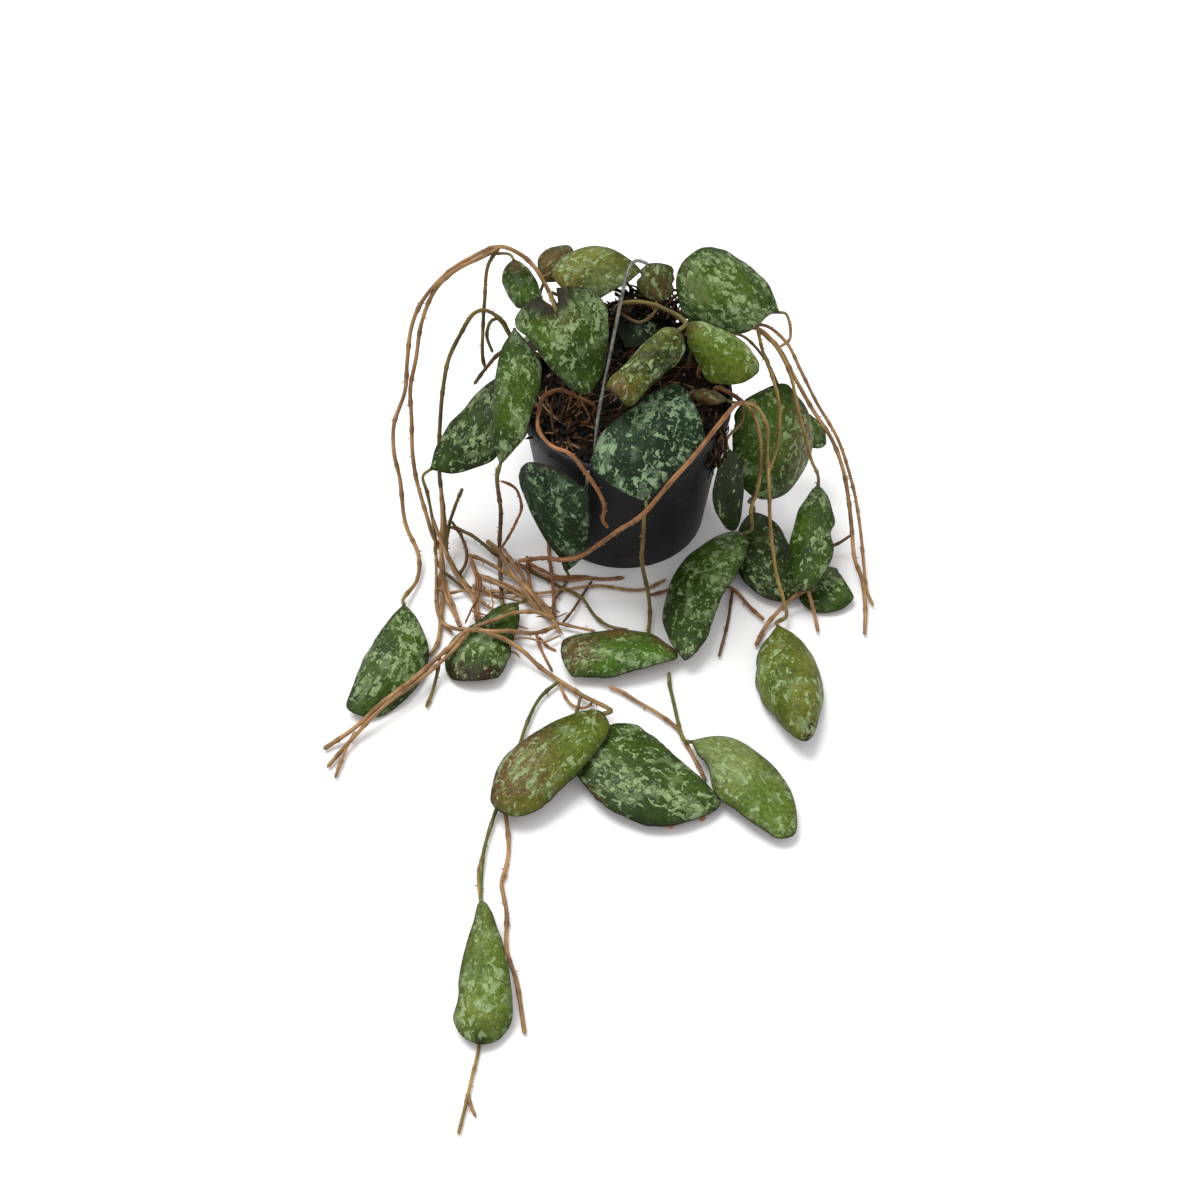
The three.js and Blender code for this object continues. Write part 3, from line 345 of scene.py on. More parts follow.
# Name, base and tip in mm, the way up, the bends, and the half widths left and right in mm.
# The bends are the radius in mm or the curl in degrees across, in degrees the arch along,
# the bend sideways and the twist, and in mm the lobe by which the base reaches back.
LEAF_ROWS = [
    ("leaf_left_roll", (-62.5, 53, 147), (-50, 26, 140), (0.3, -0.3, 0.9), {"curl": 220, "arch": 25},
     (11, 15, 16, 16.5, 16.5, 16, 15, 14, 10), (11, 15, 16, 16.5, 16.5, 16, 15, 14, 10)),
    ("leaf_crown", (-41.5, 42.5, 147), (8, 42.5, 148.5), (0, -0.3, 0.95), {"radius": 22, "arch": 70},
     (3, 10, 14, 17, 19, 17, 11, 6, 1.5), (3, 12, 18, 21, 20, 17, 13, 8, 1.5)),
    ("leaf_crown_front", (-38, 5.5, 151.5), (-21, -20, 114.5), (-0.05, -0.62, 0.78),
     {"radius": 32, "arch": 50, "lobe": 13}, (19, 29, 31, 28, 25, 20, 16, 10, 2),
     (25, 27, 22, 19, 17, 14, 11, 8, 2)),
    ("leaf_left_hanging", (-69.5, -45, 85), (-61.5, 10, 135.5), (-0.2, -0.7, 0.65),
     {"radius": 18, "arch": 50, "bend": 35}, (0.9, 7, 10, 13, 14, 14, 12, 8, 0.9),
     (0.9, 5, 10, 11, 13, 15, 14, 7, 0.9)),
    ("leaf_left_outer", (-111, -23.5, 58.5), (-68.5, 20, 90), (-0.3, -0.35, 0.88),
     {"radius": 25, "arch": 40, "bend": 45}, (0.9, 8, 12, 16, 15, 13, 12, 9, 3),
     (0.9, 11, 17, 22, 23, 20, 15, 10, 3)),
    ("leaf_pot_front", (-34, -55.5, 8), (-43, -51, 90), (-0.55, -0.83, 0), {"radius": 80, "arch": 20},
     (1.5, 0.9, 8, 12, 18, 21, 24, 21, 12), (1.5, 9, 16, 20, 22, 24, 24, 24, 13)),
    ("leaf_crown_brown", (-46, 49.5, 134.5), (-30, 62.5, 147.5), (-0.2, -0.6, 0.8),
     {"radius": 15, "arch": 30, "bend": -40}, (2, 5, 9, 12, 12, 10, 7, 5, 3),
     (2, 7, 8, 8, 8, 8, 8, 8, 4)),
    ("leaf_roll_left", (28, -4, 147), (-7, -40, 134), (0, -0.4, 0.9), {"curl": 260, "arch": 20},
     (18, 21, 21.5, 21, 20.5, 20, 20, 20, 18), (18, 21, 21.5, 21, 20.5, 20, 20, 20, 18)),
    ("leaf_roll_right", (33.5, 10, 139.5), (72, -11.5, 123), (0.2, -0.4, 0.9), {"curl": 230, "arch": 30},
     (5, 15, 19, 23, 27, 28, 25, 20, 12), (5, 15, 19, 23, 27, 28, 25, 20, 12)),
    ("leaf_crown_right", (86.5, 37.5, 122.5), (31.5, 43.5, 154.5), (0.4, -0.5, 0.75),
     {"radius": 36, "arch": 42, "bend": -40}, (0.9, 4, 16, 20, 22, 24, 25, 18, 8),
     (0.9, 15, 22, 26, 27, 28, 27, 22, 12)),
    ("leaf_crown_back", (16.5, 25, 142), (18.5, 37.5, 158.5), (0, -0.6, 0.8), {"radius": 25, "arch": 40},
     (4, 8, 11, 12, 12, 10, 11, 9, 6), (3, 7, 9, 9, 8, 9, 8, 8, 6)),
    ("leaf_inner", (-1, 42, 123.5), (10.5, 16.5, 117.5), (0, -0.5, 0.85),
     {"radius": 24, "arch": 30, "bend": 5}, (2, 4, 6, 8, 10, 12, 14, 9, 4),
     (2, 5, 6, 8, 10, 10, 10, 10, 4)),
    ("leaf_front", (10, -81.5, 95), (28.5, -17, 118.5), (0, -0.5, 0.85),
     {"radius": 51, "arch": 40, "bend": -40}, (4, 20, 32, 31, 27, 18, 12, 8, 3),
     (3, 10, 18, 24, 27, 30, 27, 19, 6)),
    ("leaf_scrap", (56, -12, 102), (34, -9, 104), (0, -0.6, 0.8),
     {"radius": 4.5, "arch": 70, "twist": 60}, (0.9, 2, 4, 5, 5, 4.5, 4, 2, 0.9),
     (0.9, 3, 4.5, 5, 4.5, 5, 3, 2.5, 0.9)),
    ("leaf_right_hanging", (85, 15, 88), (86.5, -9.5, 19), (0.35, -0.7, 0.3),
     {"radius": 37, "arch": 45, "bend": -15}, (8, 13, 20, 24, 29, 32, 27, 19, 9),
     (17, 26, 28, 30, 30, 28, 26, 22, 12)),
    ("leaf_right_back", (99, 37, 43), (118, 20, 33), (0.4, -0.5, 0.75), {"radius": 21, "arch": 30},
     (2, 6, 9, 10, 11, 10, 9, 6, 3), (2, 7, 9, 11, 11, 11, 8, 6, 3)),
    ("leaf_right_low", (57.5, -29, 80), (63, -41, 27), (0.75, -0.6, 0.25), {"radius": 50, "arch": 30},
     (2, 4, 6, 7, 7, 6, 5, 4, 2), (4, 12, 16, 18, 18, 16, 13, 9, 3)),
    ("leaf_right_dark", (76.5, -11.5, 9), (97.5, -74.5, 5), (0, 0, 1),
     {"radius": 38, "arch": 35, "bend": 45}, (5, 13, 16, 17, 18, 16, 14, 10, 4),
     (3, 8, 12, 15, 18, 19, 17, 13, 5)),
    ("leaf_right_notched", (113, -7, 27), (100.5, -78, 16), (-0.2, 0, 1),
     {"radius": 19, "arch": 45, "bend": -10}, (2, 7, 10, 13, 11, 15, 13, 10, 5),
     (2, 6, 10, 12, 13, 14, 12, 9, 4)),
    ("leaf_right_lowest", (104.5, -55, 4.5), (130.5, -73.5, 4.5), (0, 0, 1),
     {"radius": 32, "arch": 35, "bend": 40}, (12, 18, 20, 18, 16, 13, 10, 6, 2),
     (6, 11, 15, 17, 18, 17, 14, 10, 3)),
    ("leaf_banana", (69, -35.5, 18), (33, -122.5, 9.5), (-0.1, 0, 1),
     {"radius": 21, "arch": 45, "bend": 55}, (6, 14, 18, 19, 18, 18, 16, 13, 5),
     (6, 12, 16, 18, 18, 16, 15, 9, 2)),
    ("leaf_middle", (28.5, -118.5, 7), (-36, -117.5, 8), (0, 0, 1),
     {"radius": 24, "arch": 52, "bend": 20}, (3, 8, 13, 16, 19, 20, 19, 17, 15),
     (5, 9, 14, 15, 14, 13, 14, 16, 17)),
    ("leaf_low_left", (-126, -81.5, 8), (-152.5, -153.5, 6), (0, 0, 1),
     {"radius": 21, "arch": 42, "bend": -65}, (0.9, 7, 13, 20, 22, 22, 20, 17, 7),
     (0.9, 8, 14, 18, 21, 19, 14, 8, 3)),
    ("leaf_folded", (-61.5, -80.5, 8), (-84, -135, 7), (0, 0, 1), {"radius": 28, "arch": 38, "bend": 45},
     (2, 9, 13, 15, 16, 18, 17, 16, 12), (2, 6, 7, 8, 14, 22, 22, 19, 13)),
    ("leaf_teardrop", (86, -99, 10), (95.5, -181, 14), (0, 0, 1), {"curl": 186, "arch": 50},
     (5, 22, 26, 29, 28, 26, 20, 14, 5), (5, 22, 26, 29, 28, 26, 20, 14, 5)),
    ("leaf_floor_left", (-13, -163, 14), (-65.5, -224.5, 10), (0, 0, 1),
     {"radius": 28, "arch": 50, "bend": 20}, (9, 15, 18, 20, 21, 20, 19, 16, 9),
     (5, 9, 11, 14, 18, 21, 20, 15, 9)),
    ("leaf_floor_middle", (-25.5, -176.5, 7), (49, -215, 5.5), (0, 0, 1),
     {"radius": 55, "arch": 40, "bend": 40}, (19, 34, 33, 31, 27, 22, 16, 10, 3),
     (7, 16, 21, 25, 26, 26, 22, 14, 5)),
    ("leaf_floor_right", (35, -176, 6), (85, -236.5, 6), (0, 0, 1),
     {"radius": 27, "arch": 50, "bend": -25}, (2, 18, 22, 20, 19, 18, 15, 10, 4),
     (1.5, 7, 10, 18, 20, 18, 16, 12, 8)),
    ("leaf_lowest", (-74.5, -276, 6), (-72.5, -354.5, 5), (0, 0, 1),
     {"radius": 18, "arch": 80, "bend": -15}, (2, 4, 6, 9, 12, 14, 16, 16, 9),
     (2, 4, 6, 9, 12, 14, 14, 16, 9)),
    ("leaf_back_left", (-44, 52, 100), (-66, 74, 48), (-0.6, 0.6, 0.5), {"radius": 26, "arch": 40},
     (0.9, 13, 19, 23, 25, 24, 20, 12, 0.9), (0.9, 11, 18, 22, 24, 25, 22, 14, 2)),
    ("leaf_back_middle", (-14, 67, 101), (-10, 92, 48), (0, 0.8, 0.5), {"radius": 30, "arch": 40},
     (0.9, 12, 19, 24, 26, 25, 21, 13, 2), (0.9, 14, 20, 25, 26, 24, 20, 12, 2)),
    ("leaf_back_right", (46, 58, 99), (60, 80, 46), (0.45, 0.75, 0.5), {"radius": 25, "arch": 40},
     (0.9, 11, 18, 22, 24, 24, 20, 13, 2), (0.9, 13, 19, 22, 24, 22, 18, 11, 0.9)),
]
NO_BEND = {"bend": 0, "twist": 0, "lobe": 0}
LEAVES = {name: NO_BEND | bends | {"base": base, "tip": tip, "up": up, "left": left, "right": right}
          for name, base, tip, up, bends, left, right in LEAF_ROWS}
print(len(LEAVES), "leaves in the table")


# %% Leaf outline
def leaf_frame(leaf):
    """The midrib's start, the three directions of the blade, and its length end to end."""
    base, tip, up = (np.array(leaf[key], float) for key in ("base", "tip", "up"))
    length = np.linalg.norm(tip - base)
    along = (tip - base) / length
    up = up - along * (up @ along)
    up /= np.linalg.norm(up)
    return base, along, up, np.cross(along, up), length


def half_width(leaf, s, side):
    """Half the flat width in mm on the side with that sign: a cubic through the nine given
    widths, with the slope at each taken from its two neighbours. A quarter circle rounds
    the corners of a blunt end."""
    widths = np.where(np.asarray(side)[..., None] < 0, leaf["left"], leaf["right"]).astype(float)
    widths = np.concatenate([widths[..., :1], widths, widths[..., -1:]], axis=-1)
    place = np.asarray(s) * WIDTH_STEPS
    start = np.minimum(place.astype(int), WIDTH_STEPS - 1)
    widths = np.broadcast_to(widths, place.shape + widths.shape[-1:])
    before, here, there, after = (
        np.take_along_axis(widths, (start + step)[..., None], -1)[..., 0] for step in range(4))
    t = place - start
    half = (here + (there - before) / 2 * t
            + (3 * (there - here) - (there - before) - (after - here) / 2) * t**2
            + (2 * (here - there) + (there - before) / 2 + (after - here) / 2) * t**3)
    end = np.minimum(np.minimum(s, 1 - np.asarray(s)) / BLUNT_END, 1)
    return np.maximum(half * np.sqrt(1 - (1 - end) ** 2 * END_CUT), LEAF_END_HALF_WIDTH)


def curl_radius(leaf, s):
    """A domed leaf curls with one radius. A rolled leaf keeps its arc, so that it tapers."""
    if "radius" in leaf:
        return np.full(np.shape(s), float(leaf["radius"]))
    return (half_width(leaf, s, -1) + half_width(leaf, s, 1)) / np.radians(leaf["curl"])


# %% Leaf surface
def column(values):
    """Numbers made ready to multiply a direction each."""
    return np.asarray(values)[..., None]


def leaf_surface(leaf, s, v, half, lift):
    """Points of the blade, s from base to tip and v from the left margin to the right. The
    midrib is an arc that may also bend sideways, and each cross line is an arc around it,
    whose angle is the flat distance from the midrib over the radius of the curl."""
    base, along, up, right, length = leaf_frame(leaf)
    arch, bend, twist = (np.radians(leaf[key]) for key in ("arch", "bend", "twist"))
    swept = s - leaf["lobe"] / length * v**2 * (1 - s) ** 2
    turn = arch * (swept - 0.5)
    reach = length / (2 * np.sin(arch / 2))
    spine = (base + column(length / 2 + reach * np.sin(turn)) * along
             + column(reach * (np.cos(turn) - np.cos(arch / 2))) * up
             + column(length * bend / 2 * swept * (1 - swept)) * right)
    forward = column(np.cos(turn)) * along - column(np.sin(turn)) * up
    normal = column(np.sin(turn)) * along + column(np.cos(turn)) * up
    heading = np.arctan(bend / 2 * (1 - 2 * swept))
    sideways = column(np.cos(heading)) * right - column(np.sin(heading)) * forward
    lean = twist * (s - 0.5)
    across = column(np.cos(lean)) * sideways + column(np.sin(lean)) * normal
    out = column(np.cos(lean)) * normal - column(np.sin(lean)) * sideways
    radius = curl_radius(leaf, s)
    around = v * half / radius
    return (spine + column((radius + lift) * np.sin(around)) * across
            + column((radius + lift) * np.cos(around) - radius) * out)


def keep_above_floor(points):
    points[..., 2] = np.maximum(points[..., 2], ABOVE_FLOOR)


# %% [markdown]
# ## Leaves: relief and colour values
# A real blade isn't smooth. It is puckered between its side veins, has a shallow groove
# along the midrib, and its margin waves a little. The same relief lifts both faces, so the
# blade keeps its thickness. Each point also gets the values that the leaf material
# reads: its own ground colour, the flat place for the mottling and the distance to the
# margin. Old or dry places are brown, as spots with soft edges on the flat blade. Deep
# spots of near-black green, laid on the same way, are painted shade where a leaf or its
# margin lies in shadow.

# %% Leaf colours
LEAF_TONES = {
    "blue": ((33, 60, 38), (20, 40, 22)),
    "dark": ((52, 70, 24), (36, 52, 16)),
    "mid": ((66, 90, 28), (46, 68, 20)),
    "bright": ((80, 114, 34), (56, 86, 24)),
    "olive": ((112, 116, 42), (82, 88, 28)),
    "pale": ((114, 128, 62), (88, 104, 44)),
    "grey": ((96, 92, 54), (74, 72, 40)),
}
SPOT_TONES = {
    "dry": (112, 84, 54),
    "maroon": (52, 22, 18),
    "grey": (140, 152, 112),
    "lime": (88, 116, 34),
    # deep is painted shade: a near-black green laid on leaves, sides and margins that lie in shadow.
    "deep": (22, 32, 14),
}
# Tone, share of silver, and spots: place along, side, reach in mm, strength and colour
LEAF_LOOKS = {
    "leaf_left_roll": ("mid", 0.35, [(0.04, 0, 7, 0.8)]),
    "leaf_crown": ("olive", 0.65, [(0.1, 0.5, 12, 0.3), (0.6, 0.9, 14, 0.5, "grey")]),
    "leaf_crown_front": ("mid", 0.75, [(0.02, 0, 12, 0.4), (0.15, 0.6, 16, 0.4, "lime")]),
    "leaf_left_hanging": ("mid", 0.6, [(0.5, 0.2, 16, 0.4, "lime")]),
    "leaf_left_outer": ("dark", 0.5, [(0.9, 0.6, 8, 0.6)]),
    "leaf_pot_front": ("blue", 0.4, [(0.5, 0.8, 14, 0.5, "deep")]),
    "leaf_crown_brown": ("grey", 0.2, [(0.5, 0, 16, 0.8)]),
    # The rolled left leaf is painted deep along both curled margins, as painted shade under the roll.
    "leaf_roll_left": ("olive", 0.35, [(0.99, 0, 11, 0.9), (0.4, -0.9, 22, 0.9, "deep"),
     (0.4, 0.9, 18, 0.6, "deep")]),
    "leaf_roll_right": ("olive", 0.5, [(0.03, 0, 7, 0.8), (0.5, 0.1, 24, 0.6, "lime")]),
    "leaf_crown_right": ("mid", 0.7, [(0.55, 0.1, 18, 0.5, "lime"), (0.8, -0.4, 9, 0.5, "grey")]),
    "leaf_crown_back": ("grey", 0.6, [(0.2, 0.4, 8, 0.4)]),
    # The inner leaf lies in shadow in the crown: a deep spot over nearly all of it is painted shade.
    "leaf_inner": ("blue", 0.1, [(0.5, 0, 30, 0.9, "deep")]),
    "leaf_front": ("blue", 0.65, [(0.3, 0.3, 20, 0.5, "deep")]),
    "leaf_scrap": ("grey", 0.0, [(0.5, 0, 40, 1)]),
    "leaf_right_hanging": ("mid", 0.6, [(0.5, -0.7, 22, 0.7), (0.3, 0.3, 24, 0.7, "lime")]),
    "leaf_right_back": ("mid", 0.3, []),
    # The low right leaf hangs in shadow against the pot: a deep spot over nearly all of it is painted
    # shade.
    "leaf_right_low": ("dark", 0.1, [(0.5, 0, 40, 0.8, "deep")]),
    "leaf_right_dark": ("dark", 0.4, []),
    "leaf_right_notched": ("mid", 0.55, [(0.5, 0.8, 12, 0.5, "lime")]),
    "leaf_right_lowest": ("mid", 0.3, []),
    # The banana leaf's deep spot darkens one side: painted shade.
    "leaf_banana": ("mid", 0.75, [(0.2, 0, 24, 0.6, "lime"), (0.6, 0.9, 22, 0.5, "deep")]),
    "leaf_middle": ("bright", 0.5, [(1, 0.3, 20, 1, "maroon"), (0.95, 0, 16, 0.7), (0.5, 0.9, 12, 0.9),
     (0.1, 0.6, 9, 0.9)]),
    "leaf_low_left": ("mid", 0.85, []),
    "leaf_folded": ("mid", 0.45, [(1, 0.5, 11, 1, "maroon"), (1, -0.5, 11, 1, "maroon"),
     (0.1, 0, 8, 0.6)]),
    "leaf_teardrop": ("olive", 0.55, [(0.98, -0.3, 9, 1, "maroon"), (0.5, 0.6, 22, 0.4, "lime")]),
    "leaf_floor_left": ("olive", 0.45, [(0.8, 1, 16, 1, "maroon"), (0.45, 1, 12, 1, "maroon"),
     (0.7, 0.6, 26, 0.8), (0.02, 0, 6, 0.9), (0.3, -0.6, 24, 0.5, "lime")]),
    "leaf_floor_middle": ("mid", 0.6, [(0.5, 0.8, 24, 0.5, "deep"), (0.3, 1, 6, 0.6)]),
    "leaf_floor_right": ("pale", 0.5, [(0.2, 0, 24, 0.5, "grey"), (0.85, 0.3, 22, 0.7, "lime")]),
    "leaf_lowest": ("pale", 0.6, [(0.6, -0.8, 18, 0.5, "lime"), (1, 0, 6, 0.7, "deep")]),
    "leaf_back_left": ("mid", 0.5, []),
    "leaf_back_middle": ("bright", 0.5, []),
    "leaf_back_right": ("mid", 0.5, []),
}

# %% Leaf relief
PUCKER = 0.42
PUCKER_LENGTHS = (8, 24)
GROOVE = 0.3
GROOVE_HALF_WIDTH = 1.3
SIDE_VEIN = 0.14
SIDE_VEIN_STEP = 6.5
SIDE_VEIN_SLANT = 0.55
MARGIN_WAVE = 0.35
MARGIN_WAVE_LENGTHS = (12, 26)
MARGIN_WAVE_COUNT = 6
MARGIN_WAVE_REACH = 3
RELIEF_FADE = 6


def leaf_relief(x, y, rim, rng):
    """Millimetres of lift: a sum of waves, less a bell-shaped groove on the midrib, less
    narrow lines that run from it to the margin at a slant, plus a wave at the margin."""
    flat = np.stack([x, y], -1)
    inner = np.clip(rim / RELIEF_FADE, 0, 1)
    pucker = PUCKER * waves(flat, rng, PUCKER_LENGTHS) * inner
    groove = GROOVE * np.exp(-((y / GROOVE_HALF_WIDTH) ** 2)) * inner
    slant = np.cos(np.pi * (x - SIDE_VEIN_SLANT * np.abs(y)) / SIDE_VEIN_STEP) ** 10
    edge = MARGIN_WAVE * waves(flat, rng, MARGIN_WAVE_LENGTHS, MARGIN_WAVE_COUNT)
    return pucker - groove - SIDE_VEIN * slant * inner + edge * np.exp(-rim / MARGIN_WAVE_REACH)


# %% Leaf blade
ROWS_ALONG = 64
ROWS_ACROSS = 40
LEAF_SEED = 11
RAGGED = 0.012
RAGGED_LENGTHS = (5, 14)
TONE_LENGTHS = (16, 40)
SPOT_LENGTHS = (3, 9)
SPOT_WAVE = 0.35
SPOT_CORE = 1.4
MARGINS_APART = 60
MARGIN_POWER = 24
LEAVES_APART = 150.0


def leaf_grid():
    """Places over the whole skin: s along the midrib, closer together at the ends, and v
    from margin to margin on top and back underneath. Face is 1 on top, -1 underneath."""
    t = np.linspace(0, 1, ROWS_ALONG + 1)
    s = 0.5 * t + 0.5 * (1 - np.cos(np.pi * t)) / 2
    turn = np.arange(2 * ROWS_ACROSS) / ROWS_ACROSS
    even = 1 - 2 * np.abs(1 - turn)
    v = 0.3 * even + 0.7 * np.sin(np.pi / 2 * even)
    face = np.sign(1 - turn) * (turn > 0)
    return np.broadcast_arrays(s[:, None], v[None, :], face[None, :])


def leaf_piece(name, leaf, order, material):
    """The blade is a closed skin: both faces stand half the thickness off the middle, and
    draw together at the margin by the root of 1 - v to a high power."""
    rng = np.random.default_rng(order + LEAF_SEED)
    tone, silver, spots = LEAF_LOOKS[name]
    s, v, face = leaf_grid()
    length = leaf_frame(leaf)[-1]
    half = half_width(leaf, s, np.sign(v))
    margin_places = np.stack([s * length, MARGINS_APART * np.sign(v)], -1)
    half = half * (1 + RAGGED * waves(margin_places, rng, RAGGED_LENGTHS))
    x, y = s * length - leaf["lobe"] * v**2 * (1 - s) ** 2, v * half
    rim = np.minimum((1 - np.abs(v)) * half, np.minimum(s, 1 - s) * length)
    thick = LEAF_THICKNESS / 2 * np.sqrt(1 - np.abs(v) ** MARGIN_POWER) * (0.85 + 0.15 * (1 - v**2))
    lift = face * thick + leaf_relief(x, y, rim, rng)
    points = leaf_surface(leaf, s, v, half, lift)
    keep_above_floor(points)

    flat = np.stack([x, y], -1)
    colour = uneven_tone(LEAF_TONES[tone], flat, rng, TONE_LENGTHS)
    # Each spot blends its colour in: dry, maroon, grey and lime are the leaf's own colours, and deep is
    # painted shade.
    for place, side, reach, strength, *kind in spots:
        far = np.hypot((s - place) * length / reach, (v - side) * np.max(half) / reach)
        wear_and_shade = strength * np.clip(SPOT_CORE - far + SPOT_WAVE * waves(flat, rng, SPOT_LENGTHS), 0, 1)
        spot = light_value(*SPOT_TONES[kind[0] if kind else "dry"])
        colour = blend(wear_and_shade[..., None], colour, spot)
    return make_piece(name + "_blade", points, material, {
        "tone": colour,
        "flat": np.stack([x, y, np.full_like(x, LEAVES_APART * order)], -1),
        "silver": np.full(s.shape, silver),
        "cool": np.full(s.shape, float(tone == "blue")),
        "rim": rim,
        "under": (face < 0).astype(float)})


# %% [markdown]
# ## Leaves: the finish
# The blade is dark green with silver splashes. A splash is a place where the skin stands
# off the green below it. Noises at different scales, cut off at a level, give a faint veil,
# the splashes and the flecks between them, and a slow one keeps whole places calm. They
# read the flat place on the blade, so the pattern bends with it. Toward its margin, where
# it curls down, the blade gets painted shade: its colour darkens there. The underside is
# maroon, and the skin has a dull wax gloss.

# %% Leaf finish
# Scale of the noise, its detail, and the two levels between which the silver comes in
VEIL = (0.09, 0.13, 1), 2, -0.06, 0.04
SPLASH = (0.19, 0.27, 1), 1, -0.01, 0.02
FLECK = (0.48, 0.68, 1), 1, 0.01, 0.04


def leaf_finish():
    finish = Finish("leaf_skin", Roughness=0.45, Specular_IOR_Level=0.14)
    flat = finish.attribute("flat", 1)
    tone = finish.attribute("tone", 0)
    rim = finish.attribute("rim")
    warp = finish.vector("MULTIPLY", finish.noise(flat, 0.28, out=1), (6, 6, 0))
    bent = finish.vector("ADD", flat, warp)
    calm = finish.noise(flat, (0.045, 0.06, 1), 1)
    level = 0.665 - 0.11 * finish.attribute("silver") + 0.42 * (0.5 - calm)
    veil, splash, fleck = (finish.band(finish.noise(bent, scale, detail) - level, low, high)
                           for scale, detail, low, high in (VEIL, SPLASH, FLECK))
    cloud = finish.noise(bent, (0.5, 0.7, 1), 3, 0.6)
    shade = finish.noise(flat, 0.4, 4, 0.65)
    pit = finish.noise(flat, (0.3, 0.3, 1), 2, 0.6)
    green = finish.shades(finish.band(shade, 0.34, 0.68), tone, (0.5, 0.52, 0.36), (0.98, 1.0, 0.72))
    pale = finish.mix(finish.band(cloud, 0.3, 0.6), paint(90, 116, 66), paint(160, 178, 130))
    pale = finish.mix(finish.attribute("cool") * 0.4, pale, paint(122, 156, 132))
    pale = finish.mix(0.18, pale, tone)
    top = finish.mix(veil * 0.3, green, pale)
    mottle = splash.larger(fleck * 0.7)
    top = finish.mix(mottle * 0.85, top, pale)
    top = finish.over(pit, 0.68, 0.73, 0.6, top, paint(30, 34, 16))
    # Painted shade: within 7 mm of the margin the colour is drawn toward near-black green, for the shade
    # where the blade curls down.
    top = finish.mix(finish.band(rim, 0, 7, 0.42, 0), top, paint(20, 26, 12))
    top = finish.mix(finish.band(rim, 0.2, 1.2, 0.85, 0), top, paint(30, 20, 14))
    under = finish.mix(finish.band(shade, 0.3, 0.7), paint(50, 20, 18), paint(72, 42, 26))
    return finish.feed(
        Base_Color=finish.mix(finish.attribute("under"), top, under),
        Roughness=0.34 + 0.24 * shade + 0.1 * mottle,
        Normal=finish.bump(mottle * 0.35 + shade * 0.8 + cloud * 0.4, 0.0004))


leaf_skin = leaf_finish()
print("leaf finish with", len(leaf_skin.node_tree.nodes), "nodes")

# %% Make the leaves
blade_faces = 0
for order, (name, leaf) in enumerate(LEAVES.items()):
    blade = leaf_piece(name, leaf, order, leaf_skin)
    blade_faces += show(blade, "dry_leaf" if name == "leaf_scrap" else "leaf", name)
print(len(LEAVES), "leaves,", blade_faces, "faces")

# %% [markdown]
# ## Stems: a smooth line and a skin round it
# The stems are wiry vines, about 2 to 3 mm thick. Each one follows a smooth line through
# its points, the same line as its solid, but is a little thinner than that. A round section
# is carried along it. A frame that turns as little as possible keeps the bark from
# twisting. Joints swell a little every few centimetres, and short root stubs stand out.

# %% Stem numbers
PETIOLE_LENGTH = 6
PETIOLE_OVERLAP = 0.8
